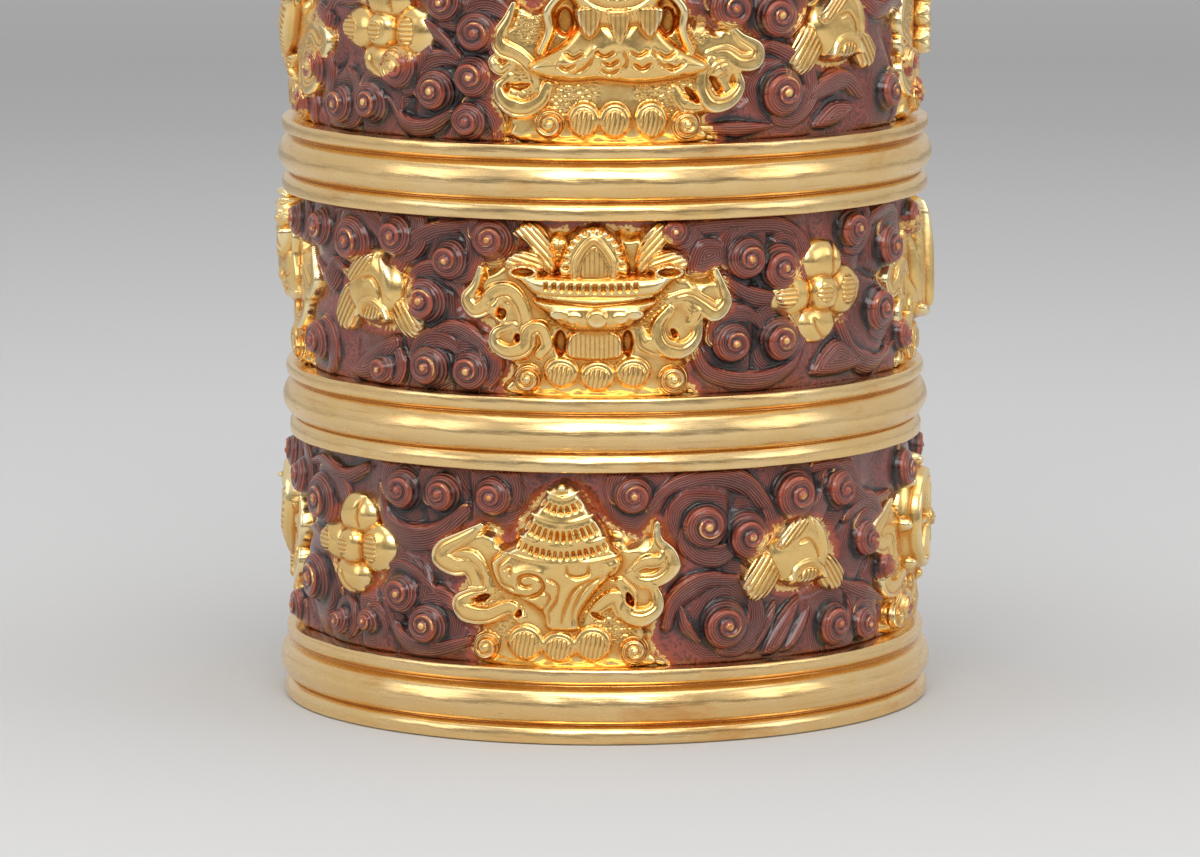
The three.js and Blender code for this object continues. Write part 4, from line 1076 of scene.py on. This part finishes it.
def wall_piece(tier, turn, flowers):
    """A tier's wall: the scrollwork outside and a plain cylinder inside, as one closed shell."""
    foot, top = FEET[tier:tier + 2]
    rise = top - foot - MOULDING_HEIGHT
    field = Relief(-HALF_ROUND / 2, HALF_ROUND / 2, -OVERLAP, rise + OVERLAP, WALL_PITCH, period=HALF_ROUND)
    far = off_ornaments(field, tier, rise, flowers)
    scrollwork(tier, field, ramp(far, 0, 2.5))
    field.height *= ramp(field.z, -0.3, 0.6) * ramp(rise + 0.3 - field.z, 0, 0.9)
    for values in field.marks.values():
        values[field.z > rise + 0.2] = 0

    node = f"tier_{tier + 1}_wall"
    low, high = extent(node)[:2]
    rows, columns = len(field.zs), 2 * len(field.xs)
    around = (np.arange(columns) * 2 * HALF_ROUND / columns - HALF_ROUND / 2 + turn * GROUND_RADIUS)[None]
    level = doubled(field.z) + foot + MOULDING_HEIGHT
    outside = wrapped(np.repeat(around, rows, 0), doubled(softened(field.height)), level)
    rings = [wrapped(around, 0, low), *outside[:, None], wrapped(around, 0, high)]
    rings += [wrapped(around, -SHEET, high), wrapped(around, -SHEET, low)]

    def carried(values):
        """A mark for every ring: the end rows' values on the plain tongues, and 0 inside."""
        values = doubled(values)
        return np.concatenate([values[:1], values, values[-1:], np.zeros((2, columns))])

    attributes = {key: carried(values) for key, values in field.marks.items()}
    attributes["ridge"] = carried(detail(field.height, WALL_PITCH, True))
    attributes["gild"] = carried((1 - ramp(far, 0, 3)) * ramp(rise + 0.4 - field.z, 0, 0.4))
    attributes["inside"] = np.repeat([0.0] * rows + [1.0] * 4, columns)
    faces = [grid_faces(rows + 4, columns, closed=True)]
    points = np.concatenate(rings).reshape(-1, 3)
    mesh_piece(f"wall_{tier + 1}", points, faces, BODIES[tier], node, paint, attributes, sharp=80)


def shown_cells(shown):
    """The grid's cells that have a shown corner, with more where two would else meet at a corner alone."""
    cells = shown[:-1, :-1] | shown[1:, :-1] | shown[:-1, 1:] | shown[1:, 1:]
    for _ in range(3):
        rising = cells[:-1, :-1] & cells[1:, 1:] & ~cells[1:, :-1] & ~cells[:-1, 1:]
        falling = cells[1:, :-1] & cells[:-1, 1:] & ~cells[:-1, :-1] & ~cells[1:, 1:]
        cells[1:, :-1] |= rising
        cells[:-1, :-1] |= falling
    return cells


def ornament_piece(name, field, angle, level, body, node):
    """An applied ornament cut out of its relief: only what stands above the sunk ground, closed by a back."""
    field.height = softened(field.height)
    rows, columns = field.height.shape
    quads = grid_faces(rows, columns)[shown_cells(field.height > BACKING + 0.12).ravel()]
    edges = np.concatenate([quads[:, [i, (i + 1) % 4]] for i in range(4)])
    there = edges[:, 0] * rows * columns + edges[:, 1]
    back = edges[:, 1] * rows * columns + edges[:, 0]
    border = edges[~np.isin(there, back)]
    used, front = np.unique(quads, return_inverse=True)
    front = front.reshape(quads.shape)
    count = len(used)
    x, z, height = (values.ravel()[used] for values in (field.x, field.z, field.height))
    x, z = x + angle * GROUND_RADIUS, z + level
    points = np.concatenate([wrapped(x, height, z), wrapped(x, BACKING, z)])
    first, second = np.searchsorted(used, border).T
    sides = np.stack([second, first, first + count, second + count], 1)
    attributes = {}
    for key, values in {"ridge": detail(field.height, ORNAMENT_PITCH), **field.marks}.items():
        attributes[key] = np.concatenate([values.ravel()[used], np.zeros(count)])
    mesh_piece(name, points, [front, front[:, ::-1] + count, sides], body, node, gilt, attributes, sharp=80)


def turned_piece(name, profile, body, node, finish, columns=360, wobble=None, ridge=None, sharp=40):
    """Turned work: a closed profile of [radius, level], revolved, with a wobble of its radius that depends on
    the angle and the level."""
    profile = np.array(profile, float)
    angle = np.tile(even_angles(columns), (len(profile), 1))
    radius, level = profile[:, :1], profile[:, 1:]
    if wobble:
        radius = radius + wobble(angle, level)
    points = round_axis(radius, angle, level).reshape(-1, 3)
    attributes = {} if ridge is None else {"ridge": np.repeat(ridge, columns)}
    faces = [grid_faces(len(profile), columns, closed=True)]
    mesh_piece(name, points, faces, body, node, finish, attributes, sharp)


# The tiers

# How far the lower lip, the torus and the upper lip of each moulding stand out, in millimetres
MOULDING_REACHES = ((5.6, 6.4, 4.9), (4.1, 5.6, 4.7), (5.4, 6.4, 5.5), (5.2, 6.3, 5.0))
MOULDING_LIFT = 0.45  # of the moulding's bore off the wall
UNEVENNESS = 0.1  # of a moulding
FLOWER_FIELD = (-18, 18, -14, 14)
EMBLEM_REACH = 36


def moulding_section(lower, torus, upper):
    """The outside of a moulding, as [how far it stands out in millimetres, share of its height]."""
    crease, seam = lower * 0.7, upper * 0.72
    lip = [(lower - 1.4, 0), (lower - 0.3, 0.012), (lower, 0.05), (lower, 0.14), (lower - 0.4, 0.2),
           (crease + 0.4, 0.24)]
    swell = [(0, 0.26), (0.3, 0.285), (0.62, 0.34), (0.88, 0.41), (1, 0.475), (0.99, 0.54), (0.87, 0.61),
             (0.62, 0.69)]
    edge = [(seam + 0.4, 0.742), (seam, 0.765), (seam, 0.778), (seam + 0.35, 0.792), (upper - 0.3, 0.825),
            (upper, 0.87), (upper, 0.94), (upper - 0.25, 0.985), (upper - 1, 1)]
    return [*lip, *((crease + (torus - crease) * out, up) for out, up in swell), *edge]


def moulding_piece(node, foot, body, reaches):
    """The moulding at a foot: a torus between two lips, slightly uneven as hand-worked sheet is."""
    bore = GROUND_RADIUS + MOULDING_LIFT
    section = [(GROUND_RADIUS + out, up * MOULDING_HEIGHT) for out, up in moulding_section(*reaches)]
    profile = np.array([(bore, 0), *flowing(section, step=0.22), (bore, MOULDING_HEIGHT)])
    worn = (profile[:, :1] > bore + 0.1) * UNEVENNESS
    seed = foot / 10

    def wobble(angle, z):
        waves = 2 + np.sin(3 * angle + seed + z / 5) + 0.5 * np.sin(7 * angle + 2 * seed + z / 3)
        return -worn * (waves + 0.3 * np.sin(19 * angle + z) + 0.12 * np.sin(47 * angle + 2 * z))

    # The ridge mark: below nought in the grooves, where the gilding paints shade, and capped low on the
    # raised parts
    smooth = np.convolve(np.pad(profile[:, 0], 6, mode="edge"), np.ones(13) / 13, "valid")
    ridge = np.minimum((profile[:, 0] - smooth) * 1.6, 0.1)
    ridge[[0, -1]] = 0
    name = node.replace("moulding", "ring")
    turned_piece(name, profile + [0, foot], body, node, ring_gilt, 720, wobble, ridge)


def tier_pieces(tier):
    """A tier's wall, with the emblems and flowers on it."""
    body = BODIES[tier]
    prefix = f"tier_{tier + 1}_"
    motifs = MOTIFS_ROUND[tier]
    turn = middle_angle(f"{prefix}{motifs[0]}_emblem")
    base = FEET[tier] + MOULDING_HEIGHT
    rise = FEET[tier + 1] - base
    flowers = {label: [middle_angle(f"{prefix}{label}_{i}") - turn for i in (1, 2)]
               for label in ("bud", "blossom")}
    wall_piece(tier, turn, flowers)
    for i, motif in enumerate(motifs):
        field = Relief(-EMBLEM_REACH, EMBLEM_REACH, -0.7, rise + 0.2, ORNAMENT_PITCH, BACKING)
        setting(field, tier)
        MOTIFS[motif](field)
        field.height = np.where(field.z > rise - 0.3, BACKING, field.height)
        angle = turn + i * math.pi / 2
        ornament_piece(f"{motif}_{tier + 1}", field, angle, base, body, f"{prefix}{motif}_emblem")
    for label, draw in (("bud", bud), ("blossom", blossom)):
        for i in (1, 2):
            node = f"{prefix}{label}_{i}"
            foot, top, _ = extent(node)
            field = Relief(*FLOWER_FIELD, ORNAMENT_PITCH, BACKING)
            draw(field)
            ornament_piece(f"{label}_{tier + 1}_{i}", field, middle_angle(node), (foot + top) / 2, body, node)


for node, foot, body, reaches in zip(MOULDINGS, FEET, BODIES, MOULDING_REACHES):
    moulding_piece(node, foot, body, reaches)
for tier in range(3):
    tier_pieces(tier)


# The lid, its finial and the plain pieces inside

DOME_PITCH = 0.5
LID_RELIEF = 0.42  # the lid is chased lower than the walls are
LID_SCROLLS = 12  # in half the lid's round
LID_PETALS = 8  # in half the lid's round
FINIAL_PETALS = 8  # in the whole round, in each of two rows
COLLAR_BEADS = 48
NUT_BORE = 2.6
SEAT_BREADTH = 4
CHAMFER = 0.3


def dome_line(low, high, spring):
    """The lid shell's outside, foot to crown, in even steps: an upright wall, then a quarter oval to a flat
    crown. It gives the points as [radius, level], the way each faces, and how far along the line each is."""
    crown = extent("finial_collar")[2]
    turn = np.linspace(0, math.pi / 2, 200)
    radius = crown + (GROUND_RADIUS - crown) * np.cos(turn)
    level = spring + (high - spring) * np.sin(turn)
    line = np.concatenate([[(GROUND_RADIUS, low)], np.stack([radius, level], 1)])
    along = np.concatenate([[0], np.cumsum(np.linalg.norm(np.diff(line, axis=0), axis=1))])
    even = np.linspace(0, along[-1], round(along[-1] / DOME_PITCH))
    line = np.stack([np.interp(even, along, line[:, 0]), np.interp(even, along, line[:, 1])], 1)
    ahead = np.gradient(line, axis=0)
    ahead /= np.linalg.norm(ahead, axis=1, keepdims=True)
    return line, np.stack([ahead[:, 1], -ahead[:, 0]], 1), even


def dome_relief(start, end):
    """Half of the lid's chased work, from its foot to its crown: two rows of scrolls from the start of its
    shoulder, below a ring of lotus petals that point down from the crown."""
    field = Relief(-HALF_ROUND / 2, HALF_ROUND / 2, 0, end, DOME_PITCH, period=HALF_ROUND)
    for i in range(LID_SCROLLS):
        x = -HALF_ROUND / 2 + (i + 0.5) * HALF_ROUND / LID_SCROLLS
        flip = 1 if i % 2 else -1
        band = [(x - 9 * flip, start + 3.5), (x, start + 2.4), (x + 8 * flip, start + 6)]
        field.strip(tail(x, start + 9, 4.6, flip, 90), 5.4, 1.4, ends=(1, 0.2), chase=1)
        field.strip(band, 3.6, 1.2, ends=(0.4, 0.4), chase=1)
        field.volute(x, start + 9, 4.6, 2.2, flip, 90)
        field.volute(x + HALF_ROUND / LID_SCROLLS / 2, start + 17, 4.2, 1.9, -flip, 60)
    for i in range(LID_PETALS):
        x = -HALF_ROUND / 2 + (i + 0.5) * HALF_ROUND / LID_PETALS
        petal = [(x - 11, end - 1), (x - 12.4, start + 34), (x - 8, start + 27), (x, start + 21.5),
                 (x + 8, start + 27), (x + 12.4, start + 34), (x + 11, end - 1)]
        field.pillow(petal, 1.5, edge=3.2, crown=0.3, contour=2.2, chase=0.3)
        field.groove([(x, start + 26), (x, start + 34), (x, end - 6)], 1.6, 0.5)
    field.height *= LID_RELIEF * ramp(field.z, start + 1.5, start + 3) * ramp(end - 2.5 - field.z, 0, 2)
    return field


def dome_piece():
    """The lid's shell: the chased work outside and a plain copper dome inside, as one closed shell."""
    low, high, _ = extent("lid_dome")
    spring = FEET[3] + MOULDING_HEIGHT
    line, facing, along = dome_line(low, high, spring)
    field = dome_relief(spring - low, along[-1])
    share = field.zs / along[-1] * (len(line) - 1)
    line, facing = (np.stack([np.interp(share, np.arange(len(part)), part[:, i]) for i in (0, 1)], 1)
                    for part in (line, facing))
    crown = line[-1, 0]
    inside = [(NUT_BORE, line[-1, 1]), (NUT_BORE, high - SHEET)]
    for turn in np.linspace(math.pi / 2, 0, 24):
        inside.append((crown + (GROUND_RADIUS - SHEET - crown) * math.cos(turn),
                       spring + (high - SHEET - spring) * math.sin(turn)))
    inside = np.array([*inside, (GROUND_RADIUS - SHEET, low)])
    height = doubled(field.height)
    columns = height.shape[1]
    radius, level = (np.concatenate([line[:, i:i + 1] + height * facing[:, i:i + 1],
                                     np.repeat(inside[:, i:i + 1], columns, 1)]) for i in (0, 1))
    angle = np.tile(even_angles(columns), (len(radius), 1))
    points = round_axis(radius, angle, level).reshape(-1, 3)
    bare = np.zeros((len(inside), columns))
    attributes = {key: np.concatenate([doubled(values), bare]) for key, values in field.marks.items()}
    attributes["ridge"] = np.concatenate([doubled(detail(field.height, DOME_PITCH, True)), bare])
    attributes["inside"] = np.concatenate([0 * height, bare + 1])
    faces = [grid_faces(len(radius), columns, closed=True)]
    mesh_piece("lid_shell", points, faces, "lid", "lid_dome", paint, attributes)


def collar_piece():
    """The ring of beads under the finial."""
    foot, top, reach = extent("finial_collar")
    tall = top - foot
    section = [(reach - 1, 0), (reach - 0.3, tall * 0.16), (reach, tall * 0.5), (reach - 0.3, tall * 0.84),
               (reach - 1, tall)]
    profile = np.array([(reach - 3, 0), *flowing(section, step=0.2), (reach - 3, tall)]) + [0, foot]

    def notches(angle, z):
        out = z - foot - tall / 2
        notch = -0.35 * ramp(np.cos(COLLAR_BEADS * angle), -0.2, 1) * bell(out, 1.1)
        return notch * (np.abs(out) < tall / 2 - 0.2)

    turned_piece("collar", profile, "lid", "finial_collar", gilt, 576, notches)


def lotus_piece():
    """The cup of the finial: two rows of lotus petals, the outer ones opening outwards."""
    foot, top, reach = extent("finial_lotus")
    tall = top - foot
    bore = NUT_BORE + 0.4
    section = [(reach * 0.76, 0.1), (reach * 0.84, tall * 0.12), (reach * 0.99, tall * 0.42),
               (reach * 0.97, tall * 0.66), (reach * 0.9, tall * 0.9), (reach * 0.84, tall - 0.15)]
    outside = flowing(section, step=0.12)
    profile = [(bore, 0), (reach * 0.74, 0), *outside, (reach * 0.8, tall), (bore, tall)]
    petalled = np.pad(np.ones(len(outside)), 2)[:, None]

    def petals(angle, z):
        share = np.clip((z - foot) / tall, 0, 1)
        turn = angle * FINIAL_PETALS / (2 * math.pi)
        outer, between = np.abs((turn + 0.5) % 1 - 0.5) * 2, np.abs(turn % 1 - 0.5) * 2
        notch = 2.2 * ramp(outer, 0.72, 1) * ramp(share, 0.05, 0.3)
        vein = 0.25 * bell(outer, 0.07) + 0.18 * bell(outer - 0.6, 0.06)
        tip = 0.9 * ramp(outer, 0.2, 1) * ramp(share, 0.55, 1)
        tip += 0.35 * ramp(between, 0.8, 1) * ramp(share, 0.6, 0.8)
        edge = ramp(share, 0.02, 0.1) * ramp(0.99 - share, 0, 0.06)
        return -(notch + tip + vein) * edge * petalled

    turned_piece("lotus_cup", np.array(profile) + [0, foot], "lid", "finial_lotus", gilt, 720, petals)


def jewel_piece():
    """The jewel: a bead that draws up to a tip."""
    foot, top, reach = extent("finial_jewel")
    tall = top - foot
    section = [(0.45, 0), (0.95, 0.16), (0.98, 0.34), (0.62, 0.56), (0.2, 0.76), (0.1, 0.9), (0.02, 0.995)]
    outside = flowing([(out * reach, up * tall) for out, up in section], step=0.2)
    depth = tall * 0.35
    profile = np.array([(0.02, depth), (NUT_BORE, depth), (NUT_BORE, 0), *outside, (0.02, tall)]) + [0, foot]
    turned_piece("jewel", profile, "lid", "finial_jewel", gilt, 240)


def nut_piece():
    """The six-sided nut under the crown, its corners broken, round the stud."""
    foot, top, reach = extent("finial_nut")
    angle = even_angles(180)
    flat = np.abs(angle % (math.pi / 3) - math.pi / 6)
    hexagon = reach * math.cos(math.pi / 6) / np.cos(math.pi / 6 - flat)
    bore = np.full(len(angle), NUT_BORE)
    rings = [(bore, foot), (hexagon * 0.93, foot), (hexagon, foot + 0.4), (hexagon, top - 0.4),
             (hexagon * 0.93, top), (bore, top)]
    points = np.concatenate([round_axis(radius, angle, level) for radius, level in rings])
    faces = [grid_faces(len(rings), len(angle), closed=True)]
    mesh_piece("nut", points, faces, "lid", "finial_nut", copper, sharp=25)


def disc_piece(name, node, body):
    """A plain copper disc with broken edges, in the place of a CAD node."""
    foot, top, reach = extent(node)
    middle = 0.01
    profile = [(middle, foot), (reach - CHAMFER, foot), (reach, foot + CHAMFER), (reach, top - CHAMFER),
               (reach - CHAMFER, top), (middle, top)]
    turned_piece(name, profile, body, node, copper, sharp=20)


def seat_piece(node, body):
    """The plain copper ring that a tier or the lid sits on, with broken edges."""
    foot, top, reach = extent(node)
    bore = reach - SEAT_BREADTH
    profile = [(bore + CHAMFER, foot), (reach - CHAMFER, foot), (reach, foot + CHAMFER),
               (reach, top - CHAMFER),
               (reach - CHAMFER, top), (bore + CHAMFER, top), (bore, top - CHAMFER), (bore, foot + CHAMFER)]
    turned_piece(node.removesuffix("_ring"), profile, body, node, copper, sharp=20)


dome_piece()
collar_piece()
lotus_piece()
jewel_piece()
nut_piece()
disc_piece("stud", "finial_stud", "lid")
disc_piece("floor_disc", "floor_plate", "base_tier")
for node, body in zip(("tier_2_seat_ring", "tier_3_seat_ring", "lid_seat_ring"), BODIES[1:]):
    seat_piece(node, body)


# The studio

# The camera that was fitted to the photograph
PHOTO_WIDTH = 1200
FOCAL_PIXELS = 7244  # of the photograph's width
AIM = Vector((-1.18, 0.0, 61.6)) * MM  # what the camera looks at
DISTANCE = 1.7
ELEVATION = math.radians(8.09)
ROLL = math.radians(-0.08)

# The floor's grey at each distance from the pot's axis, in metres: painted shade, a little darker beside the
# pot and darker farther off, as the light falls off
FLOOR_TONES = ((0.15, 193), (0.3, 197), (0.5, 197), (0.75, 193), (1.05, 188), (1.36, 181), (1.64, 180),
               (2.0, 190))
FLOOR_SIZE = 12

# How bright the room is: dim along the horizon in front, where the gold mirrors it
HORIZON_BEHIND = 0.75
HORIZON_IN_FRONT = 0.26
SKY = 0.8
HORIZON_TOP = math.sin(math.radians(8))
SKY_FOOT = math.sin(math.radians(20))


def photo_camera():
    """The camera's place and lens."""
    camera = bpy.data.cameras.new("camera")
    camera.sensor_width = 36
    camera.lens = FOCAL_PIXELS / PHOTO_WIDTH * camera.sensor_width
    obj = bpy.data.objects.new("camera", camera)
    back = Vector((0, -math.cos(ELEVATION), math.sin(ELEVATION)))
    turn = Matrix.Rotation(math.pi / 2 - ELEVATION, 4, "X") @ Matrix.Rotation(ROLL, 4, "Z")
    obj.matrix_world = Matrix.Translation(AIM + back * DISTANCE) @ turn
    bpy.context.scene.collection.objects.link(obj)
    bpy.context.scene.camera = obj


def paper_floor():
    """A paper floor that darkens with the distance from the pot, as the photograph's background does."""
    bpy.ops.mesh.primitive_plane_add(size=FLOOR_SIZE)
    floor = bpy.context.object
    floor.name = "floor"
    f = Finish(bpy.data.materials.new("paper"))
    distance = f.add("VectorMath", {"operation": "LENGTH"}, _0=f.add("TexCoord")["Object"])["Value"]
    farthest = FLOOR_TONES[-1][0]
    tones = f.tree.nodes.new("ShaderNodeValToRGB")
    f.tree.links.new(f.math("DIVIDE", distance, farthest), tones.inputs[0])
    stops = tones.color_ramp.elements
    while len(stops) < len(FLOOR_TONES):
        stops.new(0.5)
    for stop, (reach, tone) in zip(stops, FLOOR_TONES):
        stop.position = reach / farthest
        stop.color = colour(tone, tone, tone)
    floor.data.materials.append(f.finish(Base_Color=tones.outputs[0], Roughness=0.9, Specular_IOR_Level=0.1))


def surroundings():
    """A grey room: dim along the horizon in front, brighter behind and above."""
    world = bpy.data.worlds.new("studio")
    f = Finish(world)
    direction = f.add("SeparateXYZ", Vector=f.add("TexCoord")["Generated"])
    horizon = f.spread(direction["Y"], 0.1, -0.7, HORIZON_BEHIND, HORIZON_IN_FRONT)
    share = f.spread(direction["Z"], HORIZON_TOP, SKY_FOOT)
    strength = f.plus(horizon, f.times(share, f.math("SUBTRACT", SKY, horizon)))
    f.add("OutputWorld", Surface=f.add("Background", Strength=strength)[0])
    bpy.context.scene.world = world


def soft_light(name, place, target, size, power):
    """A lit rectangle at a place, aimed at a target."""
    light = bpy.data.lights.new(name, "AREA")
    light.shape = "RECTANGLE"
    light.size, light.size_y = size
    light.energy = power
    obj = bpy.data.objects.new(name, light)
    direction = Vector(target) - Vector(place)
    obj.matrix_world = Matrix.Translation(place) @ direction.to_track_quat("-Z", "Y").to_matrix().to_4x4()
    bpy.context.scene.collection.objects.link(obj)


photo_camera()
paper_floor()
surroundings()
soft_light("overhead", (0.0, -0.2, 1.6), (0, 0, 0), (1.8, 1.4), 12.7)
soft_light("softbox", (0.0, -1.3, 1.0), (0, 0, 0.1), (1.1, 0.58), 10)
soft_light("left_window", (-1.6, -0.7, 0.8), (0, 0, 0.1), (0.9, 0.9), 3.5)
soft_light("right_window", (1.6, -0.7, 0.8), (0, 0, 0.1), (0.9, 0.9), 3.5)
bpy.context.scene.view_settings.view_transform = "Standard"
